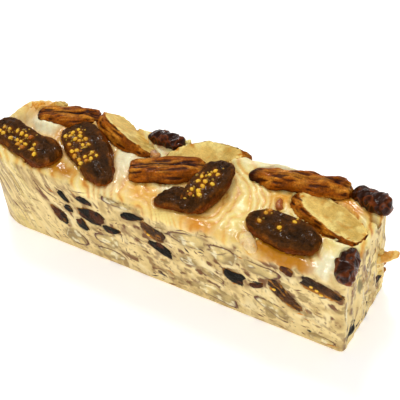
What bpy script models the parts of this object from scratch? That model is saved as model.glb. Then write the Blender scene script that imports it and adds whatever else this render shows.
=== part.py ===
"""A bar of fig and pecan nougat: one cream-coloured block with a rounded left end and a cut right end, figs,
pecans and raisins pressed into its top, and pieces of fruit and nut cut through flush with its sides.

The long axis is X, the cut front face looks along -Y, and the flat base lies on Z = 0.
Sizes are in millimetres until an object is made, and objects are in metres.
"""

import math
import random

import bmesh
import bpy
from mathutils import Matrix, Vector, noise
from mathutils.bvhtree import BVHTree

MM = 0.001
SEED = 7

# The block.
CUT_END = 60.0
NOSE_START = -55.0
NOSE_REACH = 15.6
HALF_WIDTH = 15.0
TOP_FRONT = 31.3
TOP_BACK = 32.7
TOP_EDGE = 2.5
BASE_EDGE = 0.9
END_EDGE = 1.8
CELLS = (36, 10, 5)
TOP_ROUGHNESS = 0.55
SIDE_ROUGHNESS = 0.3
ROUGHNESS_PITCH = 9.0
RIDGE_DEPTH = 0.7
RIDGE_PITCH = 5.2
RIDGE_DRIFT = 42.0
RIDGE_WAVE = 0.4
RIDGE_WANDER = 2.0
RIDGE_SLANT = 36.0
RIDGE_SAMPLE = 3.0
STEADY_BASE = 0.2
RELIEF_FADE = 4
BASE_LEVEL = 0.01
WELD = 0.02

# What is pressed into the block keeps this much clear of it.
GAP = 0.38

# Rises and dips of the top: x, y, half length, half width, heading in degrees, height.
TOP_RELIEF = {
    "white_lump": (-52.2, 3.2, 5.0, 2.4, -13.0, 2.2),
    "cream_lump": (-35.5, 9.2, 5.0, 2.6, -32.0, 2.0),
    "caramel_lump": (-58.3, 8.4, 4.6, 3.0, 21.0, 1.8),
    "pale_flake": (-53.6, 11.0, 2.4, 1.6, -40.0, 2.4),
    "smear": (-19.0, -1.5, 8.0, 3.6, -86.0, 0.9),
    "back_lip": (30.0, 15.2, 15.0, 2.8, 4.0, 3.6),
    "back_middle": (4.0, 13.0, 12.0, 4.0, 0.0, 1.4),
    "right_rise": (40.0, 4.0, 16.0, 6.0, -4.0, 1.0),
    "corner_dip": (57.0, -12.5, 6.0, 4.0, -60.0, -1.2),
    "left_dip": (-68.0, 3.0, 7.0, 9.0, 60.0, -2.6),
}
LIP_OVERHANG = 2.2
LIP_DEPTH = 0.12

FIG_SEED_RADIUS = 0.72
FIG_SEED_SINK = 0.12
SEED_SLOPE = 0.6
SEED_SIZES = (0.85, 1.1)

# Each topping: middle (x, y, z), heading, pitch and roll in degrees, and length, width, height.
FIGS = {
    "fig_left": {
        "middle": (-54.0, -6.5, 32.2), "turn": (-14.0, 0.0, 8.0), "size": (28.6, 11.0, 6.4),
        "blunt": 3.4, "taper": 0.06, "bend": 1.0, "dish": 0.30, "dish_width": 0.62,
        "seeds": 17, "band": (-0.66, 0.0, 0.70, -0.02), "band_width": 2.4,
    },
    "fig_kite": {
        "middle": (-31.0, -3.0, 32.6), "turn": (-35.0, 0.0, 4.0), "size": (29.0, 12.8, 6.6),
        "blunt": 2.1, "taper": -0.26, "bend": -1.0, "dish": 0.22, "dish_width": 0.70,
        "seeds": 22, "band": (-0.72, -0.15, 0.34, -0.25), "band_width": 3.2,
    },
    "fig_folded": {
        "middle": (10.2, -1.6, 34.2), "turn": (82.0, 9.0, 0.0), "size": (21.0, 10.6, 6.0),
        "blunt": 2.3, "taper": 0.10, "bend": 0.0, "dish": 0.26, "dish_width": 0.62,
        "seeds": 12, "band": (-0.45, 0.05, 0.62, 0.10), "band_width": 2.4,
    },
    "fig_lens": {
        "middle": (37.4, -6.5, 32.5), "turn": (-4.0, 0.0, 6.0), "size": (23.0, 11.4, 6.8),
        "blunt": 2.2, "taper": 0.10, "bend": 1.2, "dish": 0.16, "dish_width": 0.5,
        "seeds": 5, "band": (-0.62, 0.10, 0.40, -0.05), "band_width": 3.6,
    },
}
# The folded fig's second lobe turns left along the front edge.
FOLD_LOBE = {
    "middle": (5.2, -8.8, 32.2), "turn": (8.0, 0.0, 10.0), "size": (15.6, 7.6, 6.2),
    "blunt": 2.2, "taper": 0.0, "bend": -0.8, "dish": 0.12, "dish_width": 0.5,
}

# "breaks" are the flat faces where a nut is split or snapped: the way each faces, with X along the heading,
# and how far from the middle it lies.
PECANS = {
    "pecan_left": {
        "middle": (-47.0, 9.0, 32.6), "turn": (21.0, 0.0, 4.0), "size": (21.5, 8.8, 6.2),
        "blunt": 2.6, "taper": 0.0, "bend": 0.6, "groove": 0.26, "wrinkle": 0.05,
        "breaks": ((0.95, 0.25, 0.2, 9.6),),
    },
    "pecan_slice_left": {
        "middle": (-25.6, 9.8, 32.0), "turn": (-21.0, 3.0, 0.0), "size": (27.0, 10.4, 11.0),
        "blunt": 2.4, "taper": -0.18, "bend": 0.8, "groove": 0.0, "wrinkle": 0.03,
        "breaks": ((0.06, 0.62, 0.78, 1.9), (-0.98, 0.1, 0.1, 10.8)),
    },
    "pecan_middle": {
        "middle": (-6.0, 0.8, 32.6), "turn": (27.0, 0.0, -2.0), "size": (25.0, 10.2, 6.6),
        "blunt": 2.8, "taper": 0.04, "bend": 0.5, "groove": 0.24, "wrinkle": 0.03,
        "breaks": ((-0.99, 0.04, 0.1, 10.4),),
    },
    "pecan_wedge_back": {
        "middle": (3.0, 11.4, 32.4), "turn": (30.0, -2.0, 0.0), "size": (26.0, 11.0, 9.0),
        "blunt": 2.0, "taper": 0.1, "bend": 0.0, "groove": 0.0, "wrinkle": 0.03,
        "breaks": ((-0.08, -0.30, 0.95, 1.7), (0.2, -0.95, 0.1, 4.6), (0.39, 0.92, 0.1, 4.4)),
    },
    "pecan_back_right": {
        "middle": (34.0, 12.4, 33.5), "turn": (12.0, 0.5, 3.0), "size": (31.0, 8.2, 6.6),
        "blunt": 2.6, "taper": 0.16, "bend": 0.4, "groove": 0.12, "wrinkle": 0.10,
        "breaks": ((0.98, 0.1, 0.15, 13.8),),
    },
    "pecan_slice_right": {
        "middle": (46.2, 4.0, 31.4), "turn": (-16.0, 0.0, 0.0), "size": (26.0, 11.6, 9.6),
        "blunt": 2.4, "taper": 0.0, "bend": -0.8, "groove": 0.0, "wrinkle": 0.03,
        "breaks": ((0.1, 0.20, 0.97, 2.2), (0.98, 0.1, 0.1, 12.0)),
    },
}

RAISINS = {
    "raisin_back": {
        "middle": (-12.3, 12.4, 33.4), "turn": (-3.0, 0.0, 0.0), "size": (12.0, 5.4, 4.6),
        "blunt": 3.4, "taper": 0.05, "bend": 0.3, "lobes": 0.13,
    },
    "raisin_corner": {
        "middle": (58.2, -9.6, 31.6), "turn": (-74.0, 0.0, 26.0), "size": (12.2, 6.0, 6.2),
        "blunt": 2.6, "taper": -0.12, "bend": 0.8, "lobes": 0.12,
    },
    "raisin_back_right": {
        "middle": (55.0, 14.2, 34.1), "turn": (-14.0, 5.0, 10.0), "size": (13.0, 6.4, 5.6),
        "blunt": 2.6, "taper": 0.1, "bend": 0.5, "lobes": 0.12,
    },
}

CHIPS = {
    "chip_brown": {
        "middle": (31.3, 2.8, 32.0), "turn": (-66.0, 0.0, 10.0), "size": (4.8, 2.4, 2.6),
        "blunt": 2.6, "taper": 0.2, "bend": 0.2, "lobes": 0.05,
    },
    "chip_cream": {
        "middle": (29.6, -12.9, 30.9), "turn": (-38.0, 0.0, 30.0), "size": (7.8, 3.8, 3.6),
        "blunt": 2.6, "taper": -0.1, "bend": 0.0, "lobes": 0.05,
    },
    "chip_pink": {
        "middle": (-12.2, 5.2, 32.9), "turn": (-27.0, 0.0, 0.0), "size": (4.2, 3.0, 2.4),
        "blunt": 2.4, "taper": 0.0, "bend": 0.0, "lobes": 0.05,
    },
    "pecan_shard_end": {
        "middle": (61.0, 10.8, 17.0), "turn": (30.0, 4.0, 35.0), "size": (9.0, 3.6, 2.0),
        "blunt": 2.2, "taper": -0.2, "bend": 0.3, "lobes": 0.04,
    },
}

# A topping is cut back to clear the ones that lie over or against it.
GIVES_WAY = {
    "pecan_middle": ("fig_folded", "fold_lobe", "pecan_wedge_back", "chip_pink"),
    "pecan_slice_right": ("pecan_back_right", "fig_lens"),
    "chip_cream": ("fig_lens",),
    "chip_pink": ("pecan_slice_left",),
    "pecan_left": ("fig_kite", "pecan_slice_left"),
    "raisin_back": ("pecan_wedge_back",),
}

# Pieces cut through flush with the front: x, z, length, thickness, tilt in degrees, kind.
FRONT_PIECES = {
    "fruit_front_1": (-34.5, 23.6, 5.6, 2.5, -47.0, "dark_fruit"),
    "fruit_front_2": (-26.6, 24.8, 6.2, 2.8, -6.0, "dark_fruit"),
    "fruit_front_3": (-33.4, 18.9, 3.6, 3.2, 0.0, "dark_fruit"),
    "fruit_front_4": (-37.8, 14.3, 8.2, 4.6, -47.0, "dark_fruit"),
    "fruit_front_5": (-24.8, 19.3, 10.4, 6.0, 2.0, "dark_fruit"),
    "fruit_front_6": (-29.1, 13.9, 5.0, 4.2, -65.0, "dark_fruit"),
    "fruit_front_7": (-17.8, 16.4, 6.6, 3.2, 9.0, "dark_fruit"),
    "fruit_front_8": (-9.1, 25.9, 8.4, 3.2, 14.0, "dark_fruit"),
    "fig_piece_front_1": (-1.6, 22.4, 8.6, 5.8, -18.0, "fig"),
    "fruit_front_9": (0.2, 16.2, 9.0, 4.4, -27.0, "dark_fruit"),
    "pecan_front_1": (-13.4, 30.0, 10.6, 4.4, 2.0, "pecan_cut"),
    "pecan_front_2": (10.6, 25.1, 12.0, 5.6, 3.0, "pecan_cut"),
    "pecan_front_3": (22.0, 24.4, 9.6, 6.6, 6.0, "pecan_cut"),
    "pecan_front_4": (34.4, 23.6, 11.4, 4.8, -4.0, "pecan_cut"),
    "fruit_front_10": (25.4, 16.5, 7.2, 5.2, -8.0, "dark_fruit"),
    "fruit_front_11": (32.6, 16.4, 5.4, 2.2, 30.0, "dark_fruit"),
    "raisin_piece_front": (42.4, 27.2, 4.6, 4.2, -37.0, "dark_fruit"),
    "fig_piece_front_2": (41.4, 16.6, 13.8, 5.4, -38.0, "fig"),
    "fig_piece_front_3": (52.4, 25.0, 13.0, 5.2, -8.0, "fig"),
    "pecan_front_5": (18.2, 13.1, 7.8, 2.8, -16.0, "pecan_cut"),
    "pecan_front_6": (19.6, 5.0, 12.6, 5.4, -10.0, "pecan_cut"),
    "pecan_front_7": (37.6, 8.6, 11.4, 4.2, -28.0, "pecan_cut"),
    "pecan_front_8": (-20.4, 10.6, 9.0, 5.0, -4.0, "pecan_cut"),
    "pecan_front_9": (-19.5, 4.8, 10.0, 4.0, -6.0, "pecan_cut"),
    "pecan_front_10": (-32.6, 6.2, 8.8, 6.0, -14.0, "pecan_cut"),
    "pecan_front_11": (9.8, 15.4, 5.4, 3.4, 0.0, "pecan_cut"),
    "skin_piece_front": (53.2, 3.4, 8.4, 2.8, -2.0, "pecan_cut"),
}
# Flush with the cut right end: y, z, length, thickness, tilt, kind.
END_PIECES = {
    "fruit_end_1": (-9.6, 5.2, 7.4, 2.6, 34.0, "dark_fruit"),
    "pecan_end_1": (1.6, 22.4, 6.2, 3.0, 70.0, "pecan_cut"),
    "fruit_end_2": (9.6, 7.0, 4.6, 2.4, 60.0, "dark_fruit"),
}
BACK_KINDS = ("dark_fruit", "pecan_cut", "fig", "dark_fruit", "pecan_cut", "dark_fruit")
PIECE_DEPTH = 2.6
PIECE_INNER = 0.72
PIECE_LOBES = 0.10
PIECE_SIDES = 9
PIECE_CORNERS = 3.0
PIECE_FILL = 0.53

COLOURS = {
    "nougat": ((0.84, 0.75, 0.56), 0.5),
    "fig": ((0.055, 0.032, 0.020), 0.55),
    "pecan": ((0.32, 0.13, 0.045), 0.5),
    "pecan_cut": ((0.52, 0.45, 0.28), 0.6),
    "raisin": ((0.045, 0.014, 0.008), 0.25),
    "dark_fruit": ((0.030, 0.022, 0.016), 0.35),
}

# How finely each kind of lump is divided: round its section, and along it.
FIG_FACETS = (12, 10)
LOBE_FACETS = (12, 8)
PECAN_FACETS = (12, 10)
RAISIN_FACETS = (10, 9)
CHIP_FACETS = (8, 6)
SURFACE_PITCH = 4.0
SURFACE_ROUGHNESS = 0.25
NOISE_APART = (0.0, 31.0, 67.0)
RAISIN_ROUGHNESS = 0.5
GROOVE_WIDTH = 0.30
CREASES = 9.0
CREASE_TWIST = 2.0
LOBES_ALONG = 7.0
LOBES_ROUND = 3.0
LOBE_TWIST = 4.0
LOBE_SHIFT = 1.7

# The back, which looks like the front: where its pieces start, how far they spread, and their sizes.
BACK_START = -44.0
BACK_SPREAD = 92.0
BACK_LOW = 10.0
BACK_STEP = 11.0
BACK_STRAY_ALONG = 3.0
BACK_STRAY_UP = 2.0
BACK_LENGTHS = (7.0, 12.0)
BACK_THICKNESSES = (3.5, 6.0)
BACK_TILT = 45.0

TRIES_PER_SEED = 60
SEED_STRETCH = (1.15, 0.9, 0.9)


def new_collection(name, hidden=False):
    collection = bpy.data.collections.new(name)
    bpy.context.scene.collection.children.link(collection)
    collection.hide_render = hidden
    return collection


def make_material(name):
    colour, roughness = COLOURS[name]
    material = bpy.data.materials.new(name)
    material.use_nodes = True
    shader = material.node_tree.nodes["Principled BSDF"]
    shader.inputs["Base Color"].default_value = (*colour, 1.0)
    shader.inputs["Roughness"].default_value = roughness
    return material


def face_outward(shape):
    """Turns every face of a closed shape outward."""
    shape.normal_update()
    bmesh.ops.recalc_face_normals(shape, faces=shape.faces)
    shape.normal_update()


def make_object(name, shape, collection, material=None):
    """Turns a shape in millimetres into an object in metres."""
    face_outward(shape)
    bmesh.ops.scale(shape, vec=(MM, MM, MM), verts=shape.verts)
    mesh = bpy.data.meshes.new(name)
    shape.to_mesh(mesh)
    shape.free()
    obj = bpy.data.objects.new(name, mesh)
    collection.objects.link(obj)
    if material:
        mesh.materials.append(material)
    else:
        obj.display_type = "WIRE"
        obj.hide_render = True
    return obj


def boolean(obj, operation, other):
    modifier = obj.modifiers.new(operation.lower(), "BOOLEAN")
    modifier.operation = operation
    modifier.solver = "EXACT"
    if isinstance(other, bpy.types.Collection):
        modifier.operand_type = "COLLECTION"
        modifier.collection = other
    else:
        modifier.object = other


def bell(distance):
    return math.exp(-distance * distance)


def top_height(x, y):
    """Height of the block's top, with its lumps, smears and dips."""
    across = (y + HALF_WIDTH) / (2.0 * HALF_WIDTH)
    height = TOP_FRONT + (TOP_BACK - TOP_FRONT) * across
    for middle_x, middle_y, long, wide, heading, rise in TOP_RELIEF.values():
        turn = math.radians(heading)
        dx, dy = x - middle_x, y - middle_y
        u = (dx * math.cos(turn) + dy * math.sin(turn)) / long
        v = (dy * math.cos(turn) - dx * math.sin(turn)) / wide
        height += rise * bell(math.hypot(u, v))
    return height


def rounded(point):
    """Moves a point of the sharp block on to the block with rounded edges. Returns it and the way out."""
    low = (NOSE_START - NOSE_REACH, -HALF_WIDTH, 0.0)
    high = (CUT_END, HALF_WIDTH, TOP_FRONT)
    near = (END_EDGE + TOP_EDGE, TOP_EDGE, BASE_EDGE)
    far = (END_EDGE, TOP_EDGE, TOP_EDGE)
    core, reach, out = [], [], []
    for axis in range(3):
        inner = min(max(point[axis], low[axis] + near[axis]), high[axis] - far[axis])
        radius = near[axis] if point[axis] < inner else far[axis]
        core.append(inner)
        reach.append(radius)
        out.append((point[axis] - inner) / radius)
    direction = Vector(out)
    direction.normalize()
    return Vector(core[axis] + direction[axis] * reach[axis] for axis in range(3)), direction


def nosed(x, y):
    """Rounds the left end in plan: the square end becomes a half disc."""
    if x > NOSE_START:
        return x, y
    along = (NOSE_START - x) / NOSE_REACH
    across = y / HALF_WIDTH
    return (
        NOSE_START - NOSE_REACH * along * math.sqrt(1.0 - 0.5 * across * across),
        HALF_WIDTH * across * math.sqrt(1.0 - 0.5 * along * along),
    )


def ridges(y, z):
    """The drawn ridges that run up the cut end."""
    wander = noise.noise(Vector((RIDGE_SAMPLE, y / RIDGE_PITCH, z / RIDGE_DRIFT)))
    wave = math.sin(2.0 * math.pi * y / RIDGE_PITCH + z / RIDGE_SLANT)
    return RIDGE_DEPTH * (RIDGE_WANDER * wander + RIDGE_WAVE * wave)


def overhang(x, lift):
    """How far the back's top edge leans out, where the lip is."""
    middle, _, reach = TOP_RELIEF["back_lip"][:3]
    return LIP_OVERHANG * bell((x - middle) / reach) * bell((lift - 1.0) / LIP_DEPTH)


def block_shape():
    """The whole block, before anything is pressed into it."""
    shape = bmesh.new()
    bmesh.ops.create_cube(shape, size=1.0)
    for axis, cells in enumerate(CELLS):
        along = [e for e in shape.edges if abs(e.verts[0].co[axis] - e.verts[1].co[axis]) > 0.5]
        bmesh.ops.subdivide_edges(shape, edges=along, cuts=cells - 1, use_grid_fill=True)
    left = NOSE_START - NOSE_REACH
    for vert in shape.verts:
        span = vert.co + Vector((0.5, 0.0, 0.5))
        sharp = Vector((left + span.x * (CUT_END - left), 2.0 * HALF_WIDTH * span.y, span.z * TOP_FRONT))
        point, out = rounded(sharp)
        lift = point.z / TOP_FRONT
        x, y = nosed(point.x, point.y)
        rough = noise.noise(Vector((x, y, point.z)) / ROUGHNESS_PITCH)
        upright = max(out.z, 0.0)
        steady = min(1.0, lift / STEADY_BASE)
        side = SIDE_ROUGHNESS * rough * steady * (1.0 - upright)
        z = point.z + (top_height(x, y) - TOP_FRONT) * lift ** RELIEF_FADE + TOP_ROUGHNESS * rough * upright
        x += out.x * side + ridges(y, z) * max(out.x, 0.0) ** 2 * steady
        y += out.y * side + overhang(x, lift) * max(out.y, 0.0)
        vert.co = (x, y, 0.0 if sharp.z < BASE_LEVEL else z)
    base = {face for face in shape.faces if all(vert.co.z < BASE_LEVEL for vert in face.verts)}
    inner = [vert for vert in shape.verts if all(face in base for face in vert.link_faces)]
    bmesh.ops.dissolve_verts(shape, verts=inner)
    return shape


def unevenness(point):
    """A smooth random shift, the same each time for the same point."""
    return Vector(noise.noise(point + Vector((apart, 0.0, 0.0))) for apart in NOISE_APART)


def placement(spec):
    heading, pitch, roll = (math.radians(angle) for angle in spec["turn"])
    turn = Matrix.Rotation(heading, 4, "Z") @ Matrix.Rotation(-pitch, 4, "Y") @ Matrix.Rotation(roll, 4, "X")
    return Matrix.Translation(Vector(spec["middle"])) @ turn


def lump_shape(spec, facets, section, roughness=SURFACE_ROUGHNESS):
    """A closed lump along its own X axis: blunt or pointed ends, a taper, a bend and a shaped section."""
    around, along = facets
    length, width, height = spec["size"]
    blunt = spec["blunt"]
    shape = bmesh.new()
    bmesh.ops.create_uvsphere(shape, u_segments=around, v_segments=along, radius=1.0)
    for vert in shape.verts:
        s = vert.co.z
        angle = math.atan2(vert.co.y, vert.co.x)
        full = max(0.0, 1.0 - abs(s) ** blunt) ** (1.0 / blunt)
        full *= (1.0 + spec["taper"] * s) * section(angle, s)
        y = 0.5 * width * full * math.cos(angle) + spec["bend"] * (s * s - 0.5)
        z = 0.5 * height * full * math.sin(angle)
        vert.co = (0.5 * length * s, y, z)
        vert.co += roughness * unevenness(vert.co / SURFACE_PITCH + Vector(spec["middle"]))
    bmesh.ops.transform(shape, matrix=placement(spec), verts=shape.verts)
    return shape


def fig_section(spec):
    """The dish on top, between the two rolled rims of a halved fig."""
    def section(angle, s):
        dished = spec["dish"] * bell((angle - 0.5 * math.pi) / spec["dish_width"])
        return 1.0 - dished * (1.0 - 0.5 * s * s)
    return section


def pecan_section(spec):
    """The long groove between two lobes, and the creases across them."""
    def section(angle, s):
        groove = spec["groove"] * bell((angle - 0.5 * math.pi) / GROOVE_WIDTH)
        crease = spec["wrinkle"] * math.sin(CREASES * s + CREASE_TWIST * angle)
        return 1.0 - groove + crease
    return section


def lobed_section(spec):
    """The uneven swellings of a raisin or a chip."""
    def section(angle, s):
        swelling = math.sin(LOBES_ALONG * s + LOBE_SHIFT) * math.cos(LOBES_ROUND * angle + LOBE_TWIST * s)
        return 1.0 + spec["lobes"] * swelling
    return section


def broken(shape, spec):
    """Takes a lump back to its flat breaks, and closes it there."""
    middle = Vector(spec["middle"])
    turn = Matrix.Rotation(math.radians(spec["turn"][0]), 4, "Z")
    for x, y, z, away in spec["breaks"]:
        facing = (turn @ Vector((x, y, z))).normalized()
        whole = list(shape.verts) + list(shape.edges) + list(shape.faces)
        cut = bmesh.ops.bisect_plane(
            shape, geom=whole, plane_co=middle + facing * away, plane_no=facing, clear_outer=True
        )
        rim = [item for item in cut["geom_cut"] if isinstance(item, bmesh.types.BMEdge)]
        bmesh.ops.edgenet_fill(shape, edges=rim)
    bmesh.ops.remove_doubles(shape, verts=shape.verts, dist=WELD)
    return shape


def grown(shape):
    """The same lump, larger all round, to cut its bed with."""
    bigger = shape.copy()
    face_outward(bigger)
    moves = [(vert, vert.normal.copy()) for vert in bigger.verts]
    for vert, normal in moves:
        vert.co += normal * GAP
    return bigger


def seed_points(shape, spec):
    """Where the seeds sit: along a band of the dish, dropped on to the flesh, each clear of the next."""
    face_outward(shape)
    tree = BVHTree.FromBMesh(shape)
    frame = placement(spec)
    length, width, height = spec["size"]
    start_x, start_y, end_x, end_y = spec["band"]
    points = []
    for _ in range(TRIES_PER_SEED * spec["seeds"]):
        if len(points) == spec["seeds"]:
            break
        t = draw.random()
        x = 0.5 * length * (start_x + (end_x - start_x) * t)
        y = 0.5 * width * (start_y + (end_y - start_y) * t) + spec["band_width"] * draw.uniform(-1.0, 1.0)
        hit, normal, _, _ = tree.ray_cast(frame @ Vector((x, y, height)), Vector((0.0, 0.0, -1.0)))
        apart = 2.0 * FIG_SEED_RADIUS
        if hit and normal.z > SEED_SLOPE and all((hit - other).length > apart for other, _ in points):
            points.append((hit, normal))
    return points


def fuse_seeds(fig, points):
    """Joins the seeds to their fig by one union, and leaves a plain mesh."""
    seeds = new_collection(fig.name + "_seeds")
    for number, (point, normal) in enumerate(points):
        shape = bmesh.new()
        bmesh.ops.create_icosphere(shape, subdivisions=1, radius=FIG_SEED_RADIUS * draw.uniform(*SEED_SIZES))
        turn = Matrix.Rotation(draw.uniform(0.0, math.pi), 4, "Z") @ Matrix.Diagonal((*SEED_STRETCH, 1.0))
        bmesh.ops.transform(shape, matrix=turn, verts=shape.verts)
        bmesh.ops.translate(shape, vec=point - normal * FIG_SEED_SINK, verts=shape.verts)
        make_object(f"{fig.name}_seed_{number}", shape, seeds)
    boolean(fig, "UNION", seeds)
    graph = bpy.context.evaluated_depsgraph_get()
    plain = fig.data
    fused = bpy.data.meshes.new_from_object(fig.evaluated_get(graph))
    fig.modifiers.clear()
    fig.data = fused
    bpy.data.meshes.remove(plain)
    for seed in list(seeds.objects):
        bpy.data.objects.remove(seed)
    bpy.data.collections.remove(seeds)


def piece_shape(face, centre, length, thickness, tilt, variety):
    """A lens that lies in a face. The face is given by its own directions: across, up, and into the block."""
    across, up, inward = face
    turn = math.radians(tilt)
    shape = bmesh.new()
    bmesh.ops.create_cone(
        shape, cap_ends=True, segments=PIECE_SIDES, radius1=1.0, radius2=PIECE_INNER, depth=2.0 * PIECE_DEPTH
    )
    for vert in shape.verts:
        u, w, d = vert.co
        bulge = PIECE_FILL * (1.0 + PIECE_LOBES * math.sin(PIECE_CORNERS * math.atan2(w, u) + variety))
        u, w = length * u * bulge, thickness * w * bulge
        flat_u = u * math.cos(turn) - w * math.sin(turn)
        flat_w = u * math.sin(turn) + w * math.cos(turn)
        vert.co = centre + across * flat_u + up * flat_w + inward * d
    return shape


def add_piece(name, face, centre, length, thickness, tilt, kind):
    """One flush piece: the part of a lens that lies inside the block, and the bed it leaves."""
    shape = piece_shape(face, centre, length, thickness, tilt, sum(map(ord, name)))
    make_object(name + "_bed", grown(shape), beds)
    boolean(make_object(name, shape, parts, materials[kind]), "INTERSECT", whole_block)


def add_lump(name, shape, kind):
    """One piece pressed into the top, and the bed it leaves."""
    make_object(name + "_bed", grown(shape), beds)
    return make_object(name, shape, parts, materials[kind])


def add_fig(name, spec):
    shape = lump_shape(spec, FIG_FACETS, fig_section(spec))
    points = seed_points(shape, spec)
    fig = add_lump(name, shape, "fig")
    lobe = None
    if name == "fig_folded":
        lobe_shape = lump_shape(FOLD_LOBE, LOBE_FACETS, fig_section(FOLD_LOBE))
        make_object("fold_lobe_bed", grown(lobe_shape), beds)
        lobe = make_object("fold_lobe", lobe_shape, shaping)
        boolean(fig, "UNION", lobe)
    fuse_seeds(fig, points)
    if lobe:
        bpy.data.objects.remove(lobe)


for item in list(bpy.data.objects):
    bpy.data.objects.remove(item)

parts = new_collection("fig_pecan_nougat")
beds = new_collection("beds", hidden=True)
shaping = new_collection("shaping", hidden=True)
materials = {name: make_material(name) for name in COLOURS}
draw = random.Random(SEED)

whole_block = make_object("whole_block", block_shape(), shaping)
nougat = make_object("nougat", block_shape(), parts, materials["nougat"])

for name, spec in FIGS.items():
    add_fig(name, spec)
for name, spec in PECANS.items():
    add_lump(name, broken(lump_shape(spec, PECAN_FACETS, pecan_section(spec)), spec), "pecan")
for name, spec in RAISINS.items():
    add_lump(name, lump_shape(spec, RAISIN_FACETS, lobed_section(spec), RAISIN_ROUGHNESS), "raisin")
for name, spec in CHIPS.items():
    add_lump(name, lump_shape(spec, CHIP_FACETS, lobed_section(spec)), "pecan")
for name, others in GIVES_WAY.items():
    for other in others:
        boolean(parts.objects[name], "DIFFERENCE", beds.objects[other + "_bed"])

front = (Vector((1, 0, 0)), Vector((0, 0, 1)), Vector((0, 1, 0)))
for name, (x, z, *piece) in FRONT_PIECES.items():
    add_piece(name, front, Vector((x, -HALF_WIDTH, z)), *piece)

cut_end = (Vector((0, 1, 0)), Vector((0, 0, 1)), Vector((-1, 0, 0)))
for name, (y, z, *piece) in END_PIECES.items():
    add_piece(name, cut_end, Vector((CUT_END, y, z)), *piece)

back = (Vector((-1, 0, 0)), Vector((0, 0, 1)), Vector((0, -1, 0)))
for number, kind in enumerate(BACK_KINDS):
    x = BACK_START + BACK_SPREAD * number / (len(BACK_KINDS) - 1)
    x += draw.uniform(-BACK_STRAY_ALONG, BACK_STRAY_ALONG)
    z = BACK_LOW + BACK_STEP * (number % 2) + draw.uniform(-BACK_STRAY_UP, BACK_STRAY_UP)
    length, thickness = draw.uniform(*BACK_LENGTHS), draw.uniform(*BACK_THICKNESSES)
    tilt = draw.uniform(-BACK_TILT, BACK_TILT)
    add_piece(f"{kind}_back_{number + 1}", back, Vector((x, HALF_WIDTH, z)), length, thickness, tilt, kind)

boolean(nougat, "DIFFERENCE", beds)
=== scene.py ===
"""The looks of a fig and pecan nougat bar.

It is marbled cream nougat with halved figs and their golden seeds, pecans and raisins on top, and with the
pieces of fruit and nut that its cut sides show. Sizes are in millimetres until a piece is made, and colours
are the ones the eye sees, from 0 to 255.
"""

import math
import random

import bmesh
import bpy
import numpy as np
from mathutils import Matrix, Vector, noise
from mathutils.bvhtree import BVHTree


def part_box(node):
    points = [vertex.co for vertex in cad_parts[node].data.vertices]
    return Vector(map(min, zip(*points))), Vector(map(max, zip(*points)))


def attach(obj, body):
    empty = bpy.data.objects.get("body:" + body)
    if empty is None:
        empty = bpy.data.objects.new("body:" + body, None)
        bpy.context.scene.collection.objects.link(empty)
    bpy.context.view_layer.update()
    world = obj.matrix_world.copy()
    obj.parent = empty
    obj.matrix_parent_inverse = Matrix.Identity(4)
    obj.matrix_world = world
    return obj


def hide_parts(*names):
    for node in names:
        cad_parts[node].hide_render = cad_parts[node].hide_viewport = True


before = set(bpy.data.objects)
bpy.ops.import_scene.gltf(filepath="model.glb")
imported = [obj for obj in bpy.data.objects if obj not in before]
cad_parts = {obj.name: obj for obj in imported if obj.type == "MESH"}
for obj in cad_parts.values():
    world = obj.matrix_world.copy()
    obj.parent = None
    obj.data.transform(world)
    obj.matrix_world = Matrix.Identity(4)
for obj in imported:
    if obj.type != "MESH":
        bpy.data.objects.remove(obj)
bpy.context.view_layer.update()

MM = 0.001
SEED = 7
TURN = 2.0 * math.pi
UPWARD = 0.25 * TURN
DOWN = Vector((0.0, 0.0, -1.0))
NOISE_GAIN = 1.6

# The block, as the solid has it.
CUT_END = 60.0
NOSE_START = -55.0
NOSE_REACH = 15.6
HALF_WIDTH = 15.0
TOP_FRONT = 31.3
TOP_BACK = 32.7
TOP_EDGE = 2.5
BASE_EDGE = 0.9
END_EDGE = 1.8
TOP_ROUGHNESS = 0.55
SIDE_ROUGHNESS = 0.3
ROUGHNESS_PITCH = 9.0
RIDGE_DEPTH = 0.7
RIDGE_PITCH = 5.2
RIDGE_DRIFT = 42.0
RIDGE_WAVE = 0.4
RIDGE_WANDER = 2.0
RIDGE_SLANT = 36.0
RIDGE_SAMPLE = 3.0
STEADY_BASE = 0.2
RELIEF_FADE = 4
LIP_OVERHANG = 2.2
LIP_DEPTH = 0.12

# How finely the block is divided along, across and up.
CELLS = (300, 76, 70)

# Rises and dips of the top: x, y, half length, half width, heading in degrees, height.
TOP_RELIEF = {
    "white_lump": (-52.2, 3.2, 5.0, 2.4, -13.0, 2.2),
    "cream_lump": (-35.5, 9.2, 5.0, 2.6, -32.0, 2.0),
    "caramel_lump": (-58.3, 8.4, 4.6, 3.0, 21.0, 1.8),
    "pale_flake": (-53.6, 11.0, 2.4, 1.6, -40.0, 2.4),
    "smear": (-19.0, -1.5, 8.0, 3.6, -86.0, 0.9),
    "back_lip": (30.0, 15.2, 15.0, 2.8, 4.0, 3.6),
    "back_middle": (4.0, 13.0, 12.0, 4.0, 0.0, 1.4),
    "right_rise": (40.0, 4.0, 16.0, 6.0, -4.0, 1.0),
    "corner_dip": (57.0, -12.5, 6.0, 4.0, -60.0, -1.2),
    "left_dip": (-68.0, 3.0, 7.0, 9.0, 60.0, -2.6),
}

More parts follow.
